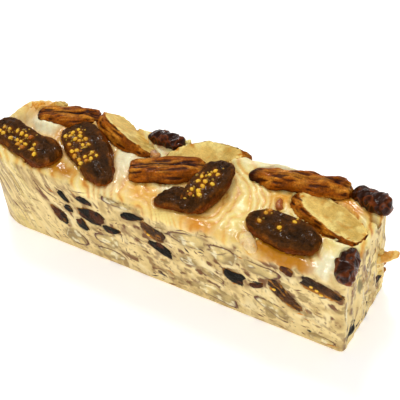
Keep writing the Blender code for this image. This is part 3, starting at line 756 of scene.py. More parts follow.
def fig_lobe(name, spec):
    """One lobe of a fig: the leathery skin with its wrinkles, and the pulp in the dish."""
    mesh, points, angle, s = lump(name, spec, LUMP_FACETS, fig_section(spec))
    local = local_coordinates(points, spec)
    pulp = bell((angle - UPWARD) / (spec["dish_width"] + 0.1)) * step(1.0 - np.abs(s), 0.0, 0.25)
    wrinkles = ridged(local, (9.0, 1.5, 1.5), 11) * (1.0 - 0.7 * pulp)
    grit = fractal(local, 0.8, 21, 2)
    buckled = fractal(local + np.array(spec["middle"]), 5.5, 25, 2)
    tilt = np.abs((angle - UPWARD + math.pi) % TURN - math.pi) + 0.14 * fractal(local, 5.0, 28, 2)
    ends = step(1.0 - np.abs(s), 0.0, 0.3)
    lip = bell((tilt - FIG_LIP) / FIG_LIP_WIDTH) * ends
    hollow = bell((tilt - FIG_LIP - FIG_HOLLOW) / FIG_HOLLOW_WIDTH) * ends
    shift = 0.26 * wrinkles + 0.18 * grit * (0.5 + pulp) + 0.60 * buckled
    shift = shift + 0.42 * lip - 0.34 * hollow - 0.2 * pulp
    points = points + normals_of(mesh) * shift[:, None]
    place(mesh, points)
    flank = step(tilt, FIG_LIP - 0.05, FIG_LIP + 0.35)
    under = step(-np.sin(angle), -0.25, 0.45)
    paint = painted(
        FIG_SKIN, len(points),
        # The pulp in the dish is dark. The wrinkle troughs are darkened too, as painted shade.
        (FIG_DARK, 0.8 * pulp + 0.8 * step(-wrinkles, -0.1, 0.7)),
        (FIG_FLANK, flank * (0.75 + 0.7 * fractal(local, (6.0, 2.0, 2.0), 27))),
        (FIG_RIM, 0.6 * lip * step(fractal(local, 2.6, 29), -0.1, 0.4)),
        (FIG_SKIN, 0.8 * (1.0 - flank) * step(fractal(local, (3.0, 1.2, 1.2), 37, 2), 0.1, 0.6)),
        (FIG_RIM, under * (0.45 + 0.5 * fractal(local, 3.0, 31))),
        (FIG_RIM, 0.6 * step(np.abs(s), 0.88, 1.0) * step(fractal(local, 2.0, 33), -0.3, 0.4)),
    )
    wet = np.clip(under + 0.8 * step(fractal(local, 2.6, 41), 0.1, 0.6), 0.0, 1.0)
    return mesh, points, paint, wet


def stain_around(paint, points, spots):
    """The pulp turns amber where the seeds sit in it."""
    for spot, _ in spots:
        away = np.linalg.norm(points - np.array(spot), axis=1)
        paint = towards(paint, FIG_RIM, 0.8 * bell(away / PULP_REACH))
    return paint


def seed_points(tree, spec):
    """Where the seeds sit: along a band of the dish, dropped on to the flesh, each clear of the next."""
    matrix = placement(spec)
    length, width, height = spec["size"]
    start_x, start_y, end_x, end_y = spec["band"]
    found = []
    for _ in range(TRIES_PER_SEED * spec["seeds"]):
        if len(found) == spec["seeds"]:
            break
        t = draw.random()
        x = 0.5 * length * (start_x + (end_x - start_x) * t)
        y = 0.5 * width * (start_y + (end_y - start_y) * t) + spec["band_width"] * draw.uniform(-1.0, 1.0)
        hit, normal, _, _ = tree.ray_cast(matrix @ Vector((x, y, height)), DOWN)
        apart = 2.0 * FIG_SEED_RADIUS
        if hit and normal.z > SEED_SLOPE and all((hit - other).length > apart for other, _ in found):
            found.append((hit, normal))
    return found


def unit_ball():
    """The points and faces of a round lump of radius 1."""
    shape = bmesh.new()
    bmesh.ops.create_icosphere(shape, subdivisions=2, radius=1.0)
    shape.verts.ensure_lookup_table()
    points = np.array([vert.co for vert in shape.verts])
    faces = np.array([[vert.index for vert in face.verts] for face in shape.faces])
    shape.free()
    return points, faces


BALL = unit_ball()


class Cluster:
    """Many small lumps gathered into one mesh."""

    def __init__(self):
        self.points, self.faces, self.paint, self.count = [], [], [], 0

    def add(self, points, faces, colour):
        """Adds one lump. The colour is light sent back, one for the lump or one for each point."""
        self.points.append(points)
        self.faces += [[self.count + i for i in face] for face in faces]
        self.paint.append(np.broadcast_to(colour, (len(points), 3)))
        self.count += len(points)

    def add_ball(self, spot, radii, heading, colour, ragged=0.0):
        turn = np.array(Matrix.Rotation(heading, 3, "Z"))
        points = BALL[0] * radii
        if ragged:
            points = points * (1.0 + ragged * fractal(BALL[0] + 7.0 * np.array(spot), 0.9, 171, 2))[:, None]
        self.add(points @ turn.T + np.array(spot), BALL[1].tolist(), colour)

    def finish(self, name, material, wet, nodes=()):
        points, paint = np.concatenate(self.points), np.concatenate(self.paint)
        mesh = make_mesh(name, points, self.faces)
        return add_piece(name, mesh, points, materials[material], paint, wet, nodes)


def seed_colour():
    """Gold, and now and then amber."""
    share = shade_draw.random() ** 3
    return linear(SEED_GOLD) + (linear(SEED_AMBER) - linear(SEED_GOLD)) * share


def add_fig(name, spec):
    """A halved fig with its seeds, large ones and small ones between them. Returns its points and faces."""
    mesh, points, paint, wet = fig_lobe(name, spec)
    faces = faces_of(mesh)
    tree = tree_of(points, faces)
    cluster = Cluster()
    spots = seed_points(tree, spec)
    for spot, normal in spots:
        radius = FIG_SEED_RADIUS * draw.uniform(*SEED_SIZES)
        heading = draw.uniform(0.0, math.pi)
        middle = spot - normal * FIG_SEED_SINK
        cluster.add_ball(middle, radius * SEED_STRETCH, heading, seed_colour(), SEED_RAGGED)
    paint = stain_around(paint, points, spots)
    for _ in range(SMALL_SEEDS_EACH * spec["seeds"]):
        near = Vector(shade_draw.choice(spots)[0])
        stray = Vector((shade_draw.gauss(0.0, 1.0), shade_draw.gauss(0.0, 1.0), SMALL_SEED_DROP))
        hit, normal, _, _ = tree.ray_cast(near + stray, DOWN)
        radius = shade_draw.uniform(*SMALL_SEED_RADII)
        if hit and normal.z > SEED_SLOPE:
            tone = seed_colour() * shade_draw.uniform(*SMALL_SEED_TONES)
            turned = shade_draw.uniform(0.0, TURN)
            middle = hit - normal * SMALL_SEED_SINK * radius
            cluster.add_ball(middle, radius * SEED_STRETCH, turned, tone, SMALL_SEED_RAGGED)
    add_piece(name + "_flesh", mesh, points, materials["fig"], paint, wet, [name])
    cluster.finish(name + "_seeds", "seed", 0.0, [name])
    return points, faces


def break_off(points, spec):
    """Flattens a lump where it is broken. Returns the points and where they show pale flesh."""
    turn = Matrix.Rotation(math.radians(spec["turn"][0]), 4, "Z")
    flesh, edge = np.zeros(len(points)), np.zeros(len(points))
    for x, y, z, away, pale in spec["breaks"]:
        facing = np.array((turn @ Vector((x, y, z))).normalized())
        beyond = (points - np.array(spec["middle"])) @ facing - away
        over = np.maximum(beyond, 0.0)
        points = points - over[:, None] * facing
        ragged = beyond + 0.12 * fractal(points, 1.4, 57, 2)
        flesh = np.maximum(flesh, pale * step(ragged, -0.05, 0.12))
        edge = np.maximum(edge, pale * bell((ragged - 0.3) / 0.6))
    return points, flesh, edge


def add_pecan(name, spec):
    """A pecan half or a broken one: wrinkled brown skin, and pale flesh where it is broken."""
    mesh, points, angle, s = lump(name, spec, LUMP_FACETS, pecan_section(spec))
    points, flesh, edge = break_off(points, spec)
    place(mesh, points)
    local = local_coordinates(points, spec)
    wrinkles = ridged(local, (7.0, 1.0, 1.0), 51, 2)
    lumps = fractal(local, (4.6, 3.2, 3.2), 53, 2)
    skin = 1.0 - flesh
    shift = skin * (0.20 * wrinkles + spec.get("lumps", 0.15) * lumps) + 0.08 * fractal(local, 1.6, 61)
    shift = shift + 0.30 * edge * fractal(local, 1.0, 65, 2)
    points = points + normals_of(mesh) * shift[:, None]
    place(mesh, points)
    groove = bell((angle - UPWARD + 0.10 * fractal(local, 5.0, 67)) / 0.13) * step(spec["groove"], 0.05, 0.2)
    # Lighter where lumps and ridges stand up: partly wear of the skin, partly painted highlight.
    worn_and_highlit = fractal(local, (6.0, 1.8, 1.8), 63) + 0.6 * lumps + 0.3 * wrinkles
    paint = painted(
        PECAN_BROWN, len(points),
        (PECAN_BRIGHT, 0.85 * step(worn_and_highlit, 0.0, 0.9)),
        # Darker in the wrinkle troughs and the groove: partly the skin's own dark creases, partly painted
        # shade.
        (PECAN_DARK, 0.85 * step(-wrinkles, 0.05, 0.6) + 1.1 * groove),
        # Darker in the hollows between the lumps: painted shade.
        (PECAN_DARK, 0.5 * step(-lumps, 0.1, 0.7)),
        # Darker on the underside: painted shade.
        (PECAN_DARK, 0.6 * step(-np.sin(angle), -0.3, 0.4)),
        # Darker towards the left tip: painted shade.
        (PECAN_DARK, spec.get("dark_tip", 0.5) * step(-s, 0.72, 0.94)),
        (PECAN_DARK, 0.4 * step(s, 0.86, 1.0)),
    )
    pale = painted(
        PECAN_FLESH, len(points),
        (PECAN_GREY, 0.35 + 0.7 * fractal(local, 5.0, 71, 3)),
        (TOP_CREAM, 0.75 * step(fractal(local, 3.0, 73, 3) + 0.8 * edge, 0.0, 0.8)),
        (PECAN_BRIGHT, 0.8 * step(fractal(local, 1.6, 75, 3), 0.38, 0.7) * (0.5 + edge)),
    )
    paint = paint + (pale - paint) * flesh[:, None]
    add_piece(name + "_nut", mesh, points, materials["pecan"], paint, 0.3 * skin, [name], flesh)
    return points, faces_of(mesh)


def add_raisin(name, spec):
    mesh, points, angle, _ = lump(name, spec, LUMP_FACETS, lobed_section(spec), RAISIN_ROUGHNESS)
    local = local_coordinates(points, spec)
    creases = ridged(local, (2.4, 3.2, 3.2), 81, 2)
    points = points + normals_of(mesh) * (0.36 * creases - 0.1)[:, None]
    place(mesh, points)
    paint = painted(
        RAISIN_DARK, len(points),
        # Lighter maroon on the crease ridges, as painted highlight, and on the underside.
        (RAISIN_EDGE, 0.5 * step(creases, 0.5, 1.0) + 0.7 * step(-np.sin(angle), 0.1, 0.8)),
        (RAISIN_EDGE, 0.5 * step(fractal(local, 2.4, 83), 0.2, 0.8)),
    )
    add_piece(name + "_skin", mesh, points, materials["raisin"], paint, 0.5 + 0.5 * creases, [name])
    return points, faces_of(mesh)


def add_chip(name, spec):
    """A small bit of nut, cream or dried fruit."""
    mesh, points, _, _ = lump(name, spec, CHIP_FACETS, lobed_section(spec))
    points = points + normals_of(mesh) * (spec.get("ragged", 0.2) * fractal(points, 1.3, 91))[:, None]
    place(mesh, points)
    paint = painted(
        spec["colour"], len(points),
        (TOP_CREAM, 0.5 * step(fractal(points, 1.3, 93), 0.1, 0.6)),
        (PECAN_BRIGHT, 0.7 * step(fractal(points, 1.6, 95), 0.1, 0.7)),
    )
    add_piece(name + "_bit", mesh, points, materials["pecan_cut"], paint, CHIP_WET, [name])
    return points, faces_of(mesh)


def joined_tree(shapes):
    """One search tree over several shapes."""
    points, faces = [], []
    for shape_points, shape_faces in shapes:
        start = len(points)
        points += [Vector(p) for p in shape_points]
        faces += [[start + i for i in face] for face in shape_faces]
    return BVHTree.FromPolygons(points, faces)


def distance_to(tree, points, reach):
    """How far each point lies from the shapes, up to the reach."""
    found = np.full(len(points), reach)
    for number, point in enumerate(points):
        near = tree.find_nearest(Vector(point), reach)
        if near[0]:
            found[number] = near[3]
    return found


# The height that stands for nothing over a point, and the height from which the search goes down.
NO_COVER = 1000.0
OVER_ALL = 60.0


def cover_over(tree, points):
    """The height of what lies over each point, or a great height where nothing does."""
    found = np.full(len(points), NO_COVER)
    for number, (x, y, _) in enumerate(points):
        hit = tree.ray_cast(Vector((x, y, OVER_ALL)), DOWN)[0]
        if hit:
            found[number] = hit.z
    return found


fig_shapes = [add_fig(name, spec) for name, spec in FIGS.items()]
lobe_mesh, lobe_points, lobe_paint, lobe_wet = fig_lobe("fig_folded_lobe", FOLD_LOBE)
fig_shapes.append((lobe_points, faces_of(lobe_mesh)))
add_piece(
    "fig_folded_lobe", lobe_mesh, lobe_points, materials["fig"], lobe_paint, lobe_wet, ["fig_folded"]
)
pecan_shapes = [add_pecan(name, spec) for name, spec in PECANS.items()]
raisin_shapes = [add_raisin(name, spec) for name, spec in RAISINS.items()]
chip_shapes = [add_chip(name, spec) for name, spec in CHIPS.items()]

# Stripes of caramel drawn through the cream, bent by a wide and a fine warp. Near the middle of the top they
# turn from straight lines to rings, between two distances from a spot.
SWIRL_PITCH = 3.1
SWIRL_WARP = 3.6
SWIRL_WARP_PITCH = 14.0
SWIRL_FINE_WARP = 0.8
SWIRL_FINE_PITCH = 4.0
SWIRL_RINGS = (9.0, -2.0)
SWIRL_MIDDLE = (14.0, -4.0)
SWIRL_REACH = (19.0, 9.0)
# The flow of the cut sides: its slope along the bar, its warp, how it is stretched along and across, and how
# steeply, where and how softly it turns down at the left end.
FLOW_SLOPE = 0.14
FLOW_WARP = 1.8
FLOW_WARP_PITCH = 10.0
FLOW_ALONG = 0.45
FLOW_ACROSS = 0.40
NOSE_SLOPE = 1.6
NOSE_TURN = -34.0
NOSE_SOFTNESS = 5.0
# How far the nougat stays below a topping that lies over it, and how low that takes it.
BED_DEPTH = 0.7
BED_FLOOR = 29.0
# How far a piece colours the cut nougat beside it.
HALO_REACH = 0.55
# How much of the marbling shows through each tint, and how strong tints are.
TINT_KEEPS = {WHITE: 0.15, AMBER: 0.0, ORANGE: 0.1, HAZE: 0.2}
TINT_STRENGTH = 1.5
# Where the surface turns to the top and to the cut end, by which way it faces, and to the nose, by its place.
TOP_FACES = (0.35, 0.85)
END_FACES = (0.4, 0.9)
NOSE_FACES = (44.0, 54.0)
# How far the lines of the torn end lean, and up to what height the relief fades to the flat base.
END_LEAN = 1.6
FLAT_BASE = 1.5
# How far round the toppings the nougat is searched, and how far fig juice stains it.
TOPPING_REACH = 6.0
STAIN_REACH = 0.9
# Parts of the front with few marks: x, z, half length, half height, heading, how clear.
CLEAR_PATCHES = ((42.0, 6.0, 15.0, 6.0, 0.0, 1.0), (-40.0, 4.0, 20.0, 5.0, 0.0, 0.8))
# The coating laps over the edges from these heights up, from here along, but for a gap at a nut in the front.
LAP_HEIGHTS = (28.0, 29.6)
LAP_STARTS = (-40.0, -26.0)
LAP_GAP = (-13.2, 30.6, 7.4, 3.4, 0.0)


def swirl_at(x, y):
    """The marbling of the top: 1 on the caramel strokes, -1 between them."""
    flat = np.stack([x, y, np.zeros(len(x))], axis=1)
    wide_x, wide_y = (SWIRL_WARP * fractal(flat, SWIRL_WARP_PITCH, seed, 2) for seed in (101, 102))
    fine_x, fine_y = (SWIRL_FINE_WARP * fractal(flat, SWIRL_FINE_PITCH, seed, 2) for seed in (103, 104))
    bend_x, bend_y = x + wide_x + fine_x, y + wide_y + fine_y
    straight = 0.8 * bend_x + 0.5 * bend_y
    ringed = np.hypot(bend_x - SWIRL_RINGS[0], bend_y - SWIRL_RINGS[1])
    share = step(np.hypot(x - SWIRL_MIDDLE[0], y - SWIRL_MIDDLE[1]), *SWIRL_REACH)
    phase = straight * (1.0 - share) + ringed * share
    return np.sin(TURN * phase / SWIRL_PITCH + 1.6 * fractal(flat, 5.0, 106, 2))


def beside_pieces(points):
    """How close points of the front lie to the pieces cut through there, by kind: 1 at one, 0 well away."""
    near = {kind: np.zeros(len(points)) for kind in RAGGED}
    for name, (x, z, length, thickness, tilt) in FRONT_PIECES.items():
        turn = math.radians(tilt)
        dx, dz = points[:, 0] - x, points[:, 2] - z
        along, aside = dx * math.cos(turn) + dz * math.sin(turn), dz * math.cos(turn) - dx * math.sin(turn)
        away = np.hypot(along / (PIECE_FILL * length), aside / (PIECE_FILL * thickness)) - 1.0
        gap = np.maximum(0.0, away * 0.5 * PIECE_FILL * (length + thickness))
        halo = np.exp(-gap / HALO_REACH) * (points[:, 1] < 0.0)
        near[kind_of(name)] = np.maximum(near[kind_of(name)], halo)
    return near


def flow_at(points):
    """How the cut sides were drawn: bands that dive at the left end and run level along the bar."""
    x, z = points[:, 0], points[:, 2]
    dive = NOSE_SLOPE * NOSE_SOFTNESS * np.log1p(np.exp(-(x - NOSE_TURN) / NOSE_SOFTNESS))
    level = z + FLOW_SLOPE * x - dive + FLOW_WARP * fractal(points, FLOW_WARP_PITCH, 127, 2)
    along = FLOW_ALONG * x + FLOW_ALONG * NOSE_SOFTNESS * np.log1p(np.exp((x - NOSE_TURN) / NOSE_SOFTNESS))
    return np.stack([along, FLOW_ACROSS * points[:, 1], level], axis=1)


def tinted_top(points, x, y, swirl, stain):
    """The colours of the top: strokes of caramel in cream, tints over them, and amber round the figs."""
    ragged = 1.0 + 0.35 * fractal(points, 3.0, 119)
    tints = []
    for *place_of, colour, strength in TOP_TINTS:
        share = np.clip(strength * TINT_STRENGTH * ragged * patch_at(x, y, *place_of), 0.0, 1.0)
        tints.append((colour, share * (1.0 - TINT_KEEPS.get(colour, 0.4) * step(swirl, 0.4, 0.95))))
    threads = step(swirl, 0.70, 0.98) * step(fractal(points, 4.0, 124, 2), -0.35, 0.35)
    return painted(
        TOP_CREAM, len(points),
        (CARAMEL, step(swirl, -0.1, 0.9) * (0.65 + 0.5 * fractal(points, 12.0, 118))),
        (CARAMEL_DEEP, 0.75 * threads),
        (WHITE, 0.4 * step(-swirl, 0.4, 1.0)),
        *tints,
        (AMBER, 0.65 * stain),
    )


def pools_at(x, y):
    """Where syrup lies on the top: 1 in the middle of an amber or orange tint."""
    pools = np.zeros(len(x))
    for *place_of, colour, _ in TOP_TINTS:
        if colour in (AMBER, ORANGE):
            pools = np.maximum(pools, patch_at(x, y, *place_of))
    return pools


def add_nougat():
    """The block: marbled on top, streaked at its cut sides, torn at the end. Returns its points and faces."""
    lattice_points, faces = shell(CELLS)
    points, out = block_points(lattice_points)
    x, y, z = points.T
    top = step(out[:, 2], *TOP_FACES)
    end = step(out[:, 0], *END_FACES)
    nose = step(-x, *NOSE_FACES) * (1.0 - top)
    side = (1.0 - top) * (1.0 - end)
    swirl = swirl_at(x, y)
    drawn = flow_at(points)
    flow = fractal(drawn, 2.2, 111, 3)
    streak = fractal(drawn, (2.2, 2.2, 2.0), 112, 3)
    line = ridged(drawn, (3.0, 3.0, 2.2), 121, 2)
    leaning = y + END_LEAN * fractal(points * (1, 1, 0.4), 6.0, 129, 2)
    end_lines = fractal(np.stack([x * 0.3, leaning, z * 0.18 + 0.1 * y], axis=1), 1.7, 113, 3)
    near_top = np.flatnonzero(top > 0.01)
    toppings = joined_tree(fig_shapes + pecan_shapes + raisin_shapes + chip_shapes)
    fig_away, any_away = np.full(len(points), TOPPING_REACH), np.full(len(points), TOPPING_REACH)
    fig_away[near_top] = distance_to(joined_tree(fig_shapes), points[near_top], TOPPING_REACH)
    any_away[near_top] = distance_to(toppings, points[near_top], TOPPING_REACH)
    beside = beside_pieces(points)
    beside_fruit = np.maximum(beside["dark_fruit"], beside["fig"])
    dented = np.maximum(beside["pecan_cut"], beside_fruit)
    relief = top * (-0.11 * swirl + 0.34 * fractal(points, 4.2, 114))
    relief += top * 0.30 * bell((any_away - 0.8) / 0.8)
    relief += side * (0.08 * flow + nose * 0.12 * streak - 0.12 * bell((dented - 0.7) / 0.25))
    relief += end * (0.40 * end_lines + 0.25 * fractal(points, 1.6, 115))
    mesh = make_mesh("nougat", points, faces)
    points = points + normals_of(mesh) * (relief * np.minimum(1.0, z / FLAT_BASE))[:, None]
    limit = cover_over(toppings, points[near_top]) - BED_DEPTH
    points[near_top, 2] = np.minimum(points[near_top, 2], np.maximum(limit, BED_FLOOR))
    place(mesh, points)

    clear = step(fractal(points, 12.0, 130, 2), 0.0, 0.4)
    for *place_of, strength in CLEAR_PATCHES:
        clear = np.maximum(clear, strength * patch_at(x, z, *place_of))
    busy = side * (1.0 - 0.75 * clear)
    blotch = fractal(drawn, (3.8, 3.8, 3.0), 116)
    smudge = fractal(drawn, (2.0, 2.0, 2.0), 125, 3)
    bits = fractal(drawn, (2.2, 2.2, 2.0), 132, 2) + 0.08 * step(-x, 5.0, 25.0)
    mark = fractal(drawn, (0.6, 0.6, 1.0), 126, 2)
    cloud = 0.75 + 0.7 * fractal(points, 1.8, 123, 2)
    drag = nose * step(4.0 - y, -12.0, 8.0)
    tall = points * (1, 1, 0.5)
    paint = painted(
        CUT_CREAM, len(points),
        (CUT_SHADE, busy * (0.25 + 0.7 * flow)),
        (CUT_GREY, busy * step(blotch, 0.05, 0.7) * 0.65),
        (WHITE, side * step(-blotch, 0.15, 0.7) * 0.30),
        (DRAG_BROWN, busy * step(smudge, 0.32, 0.80) * 0.70),
        (BIT_BROWN, busy * (1.0 - nose) * step(bits, 0.54, 0.60)),
        (SPECK_BROWN, side * step(mark, 0.50, 0.85) * 0.60),
        (NUT_HALO, side * beside["pecan_cut"] * 0.75 * cloud),
        (FRUIT_HALO, side * beside_fruit ** 1.4 * 0.7 * cloud),
        # Darker towards the base of the cut sides: painted shade.
        (CUT_SHADE, side * step(6.0 - z, 0.0, 6.0) * 0.6),
        (DRAG_YELLOW, drag * step(streak, 0.0, 0.35) * 0.7),
        (DRAG_BROWN, drag * step(-streak, 0.12, 0.45) * 0.55),
        (NUT_SKIN, drag * step(line, 0.84, 0.97) * 0.6),
        (END_GROOVE, end * step(end_lines, 0.0, 0.7) * (0.55 + 0.4 * fractal(points, 5.0, 128))),
        (TOP_CREAM, end * step(-end_lines, 0.1, 0.6) * 0.5),
        (NUT_SKIN, end * step(fractal(tall, 2.0, 117), 0.35, 0.7) * 0.8),
        (FRUIT_BLACK, end * step(fractal(tall, 2.4, 122), 0.55, 0.8) * 0.7),
    )

    stain = np.exp(-np.maximum(fig_away - 0.2, 0.0) / STAIN_REACH)
    lap = step(z + 1.6 * fractal(points * (1, 1, 0.2), 3.0, 120), *LAP_HEIGHTS) * step(x, *LAP_STARTS)
    lap = lap * (1.0 - (y < 0.0) * np.minimum(1.0, 1.6 * patch_at(x, z, *LAP_GAP)))
    share = np.maximum(top, lap * (1.0 - end))
    paint = paint + (tinted_top(points, x, y, swirl, stain) - paint) * share[:, None]
    wet = np.clip(share * (0.25 + 0.9 * stain + pools_at(x, y)), 0.0, 1.0)
    cut = (1.0 - share) * (1.0 - 0.5 * nose)
    add_piece("nougat_block", mesh, points, materials["nougat"], paint, wet, ["nougat"], cut)
    return points, faces


# Pieces cut through flush with the front: x, z, length, thickness, tilt in degrees.
FRONT_PIECES = {
    "fruit_front_1": (-34.5, 23.6, 5.6, 2.5, -47.0),
    "fruit_front_2": (-26.6, 24.8, 6.2, 2.8, -6.0),
    "fruit_front_3": (-33.4, 18.9, 3.6, 3.2, 0.0),
    "fruit_front_4": (-37.8, 14.3, 8.2, 4.6, -47.0),
    "fruit_front_5": (-24.8, 19.3, 10.4, 6.0, 2.0),
    "fruit_front_6": (-29.1, 13.9, 5.0, 4.2, -65.0),
    "fruit_front_7": (-17.8, 16.4, 6.6, 3.2, 9.0),
    "fruit_front_8": (-9.1, 25.9, 8.4, 3.2, 14.0),
    "fig_piece_front_1": (-1.6, 22.4, 8.6, 5.8, -18.0),
    "fruit_front_9": (0.2, 16.2, 9.0, 4.4, -27.0),
    "pecan_front_1": (-13.4, 30.0, 10.6, 4.4, 2.0),
    "pecan_front_2": (10.6, 25.1, 12.0, 5.6, 3.0),
    "pecan_front_3": (22.0, 24.4, 9.6, 6.6, 6.0),
    "pecan_front_4": (34.4, 23.6, 11.4, 4.8, -4.0),
    "fruit_front_10": (25.4, 16.5, 7.2, 5.2, -8.0),
    "fruit_front_11": (32.6, 16.4, 5.4, 2.2, 30.0),
    "raisin_piece_front": (42.4, 27.2, 4.6, 4.2, -37.0),
    "fig_piece_front_2": (41.4, 16.6, 13.8, 5.4, -38.0),
    "fig_piece_front_3": (52.4, 25.0, 13.0, 5.2, -8.0),
    "pecan_front_5": (18.2, 13.1, 7.8, 2.8, -16.0),
    "pecan_front_6": (19.6, 5.0, 12.6, 5.4, -10.0),
    "pecan_front_7": (37.6, 8.6, 11.4, 4.2, -28.0),
    "pecan_front_8": (-20.4, 10.6, 9.0, 5.0, -4.0),
    "pecan_front_9": (-19.5, 4.8, 10.0, 4.0, -6.0),
    "pecan_front_10": (-32.6, 6.2, 8.8, 6.0, -14.0),
    "pecan_front_11": (9.8, 15.4, 5.4, 3.4, 0.0),
    "skin_piece_front": (53.2, 3.4, 8.4, 2.8, -2.0),
}
# Flush with the cut right end: y, z, and the rest as above.
END_PIECES = {
    "fruit_end_1": (-9.6, 5.2, 7.4, 2.6, 34.0),
    "pecan_end_1": (1.6, 22.4, 6.2, 3.0, 70.0),
    "fruit_end_2": (9.6, 7.0, 4.6, 2.4, 60.0),
}
# What the kinds are by the first word of a piece's name. The others are dark fruit.
KIND_WORDS = {"pecan": "pecan_cut", "skin": "pecan_cut", "fig": "fig"}
PIECE_DEPTH = 2.6
PIECE_INNER = 0.72
PIECE_LOBES = 0.10
PIECE_CORNERS = 3.0
PIECE_FILL = 0.53
PIECE_SIDES = 64
PIECE_RINGS = (0.0, 0.12, 0.24, 0.36, 0.48, 0.58, 0.66, 0.73, 0.79, 0.85, 0.90, 0.95, 1.0)
PIECE_PROUD = 0.10
PIECE_SINK = 0.04
PIECE_SQUARE = 0.82
PIECE_WET = 0.3
# How uneven an outline is, and how brown a fruit, from black at 0.
RAGGED = {"dark_fruit": 0.20, "pecan_cut": 0.14, "fig": 0.18}
BROWNED = {"raisin_piece_front": 1.2, "fruit_front_4": 0.7, "fruit_front_5": 0.1, "fruit_front_3": 0.5}
# A flush piece ends under the coating where the block turns over to its top.
TOP_SLOPE = 0.5
HIDDEN_BELOW = 0.8
# A face's surface lies no deeper than this behind its plane. Beyond an edge, pieces bend round the corner.
DEEPEST_CUT = 1.6
# How far outside a face the search for its surface starts.
PIECE_SEARCH = 4.0
SHRED_SEARCH = 5.0


def kind_of(name):
    return KIND_WORDS.get(name.split("_")[0], "dark_fruit")


def flush_piece(name, face, centre, length, thickness, tilt, variety, ragged):
    """A plug that follows the cut. Returns mesh, points, and how far out and which way round each lies."""
    across, up, inward = (np.array(direction, float) for direction in face)
    turn = math.radians(tilt)
    angle = np.arange(PIECE_SIDES) * TURN / PIECE_SIDES
    bulge = PIECE_FILL * (1.0 + PIECE_LOBES * np.sin(PIECE_CORNERS * angle + variety))
    circle = np.stack([np.cos(angle), np.sin(angle), np.full(PIECE_SIDES, 0.37 * variety)], axis=1)
    bulge = bulge * (1.0 + ragged * fractal(circle, 0.7, 131, 3))
    points, share, ways = [], [], []
    outward_u = np.sign(np.cos(angle)) * np.abs(np.cos(angle)) ** PIECE_SQUARE
    outward_w = np.sign(np.sin(angle)) * np.abs(np.sin(angle)) ** PIECE_SQUARE
    for ring in PIECE_RINGS[1:]:
        u, w = length * ring * bulge * outward_u, thickness * ring * bulge * outward_w
        flat_u, flat_w = u * math.cos(turn) - w * math.sin(turn), u * math.sin(turn) + w * math.cos(turn)
        for a, b, way in zip(flat_u, flat_w, angle):
            spot = centre + across * a + up * b
            outside = Vector(spot - inward * PIECE_SEARCH)
            hit, normal, _, away = nougat_tree.ray_cast(outside, Vector(inward))
            if hit is None or away > PIECE_SEARCH + DEEPEST_CUT:
                hit, normal, _, _ = nougat_tree.find_nearest(Vector(spot))
            on = np.array(hit)
            if normal.z > TOP_SLOPE:
                on = on - HIDDEN_BELOW * np.array(normal)
            points.append(on - inward * (PIECE_PROUD * (1.0 - ring ** 4) - PIECE_SINK * ring ** 8))
            share.append(ring)
            ways.append(way)
    rim = np.array(points[-PIECE_SIDES:])
    deep = centre + (rim - centre) * PIECE_INNER + inward * PIECE_DEPTH
    points += list(deep) + [np.mean(points[:PIECE_SIDES], axis=0), centre + inward * PIECE_DEPTH]
    share += [1.0] * PIECE_SIDES + [0.0, 1.0]
    ways += list(angle) + [0.0, 0.0]
    points = np.array(points)
    mesh = make_mesh(name, points, ringed_faces(len(PIECE_RINGS), PIECE_SIDES))
    return mesh, points, np.array(share), np.array(ways)


def paint_fruit(points, share, ways, variety, browned):
    """Black pulp, browner where the fruit is ripe, with an amber edge where it is thin."""
    brown = step(fractal(points, 3.0, 141 + variety % 9) + browned, 0.1, 0.8)
    rim = step(share, 0.78, 1.0) * step(np.sin(ways + variety), 0.1, 0.8)
    return painted(
        FRUIT_BLACK, len(points),
        (FRUIT_BROWN, brown),
        (FRUIT_AMBER, 0.8 * rim),
        (FRUIT_AMBER, 0.35 * browned * step(fractal(points, 1.4, 145), 0.0, 0.6)),
    )


def paint_nut(points, share, ways, variety, _):
    """A slice of nut: waxy meat with pale patches, partly crushed meat and partly painted glints, a fold
    across it, and skin along part of its edge.
    """
    along, across = share * np.cos(ways), share * np.sin(ways)
    fold = np.abs(across - 0.32 * np.sin(2.6 * along + variety) - 0.1)
    crease = step(0.13 - fold, 0.0, 0.09) * step(fractal(points, 2.0, 155), -0.2, 0.3)
    crease = crease * step(0.85 - share, 0.0, 0.1)
    skin = step(np.sin(ways + variety) + 0.8 * fractal(points, 3.0, 157), -0.2, 0.3)
    return painted(
        CUT_NUT, len(points),
        (CUT_NUT_SHADE, 0.45 + 0.9 * fractal(points, 2.6, 151, 2) + 0.5 * step(share, 0.5, 1.0)),
        # Pale patches: crushed meat, and painted glints.
        (WHITE, 0.6 * step(fractal(points, 1.5, 153, 2), 0.2, 0.7)),
        (NUT_SKIN, 0.7 * crease),
        (NUT_SKIN, step(share, 0.72, 0.84) * skin),
    )


def paint_cut_fig(points, share, ways, *_):
    """Dark flesh in layers, with lighter lines along it."""
    across = share * np.sin(ways)
    layers = np.sin(7.0 * across + 4.0 * fractal(points, 3.0, 163))
    patchy = step(fractal(points, 2.4, 165, 2), -0.2, 0.5)
    below = step(-across, 0.25, 0.7) * step(fractal(points, 3.0, 167), -0.5, 0.2)
    return painted(
        FIG_SKIN, len(points),
        (FIG_DARK, step(fractal(points, 2.0, 161), -0.3, 0.4)),
        (PECAN_BRIGHT, 0.5 * patchy * step(layers, 0.5, 1.0)),
        (FRUIT_AMBER, 0.75 * below),
    )


PAINTERS = {"dark_fruit": paint_fruit, "pecan_cut": paint_nut, "fig": paint_cut_fig}


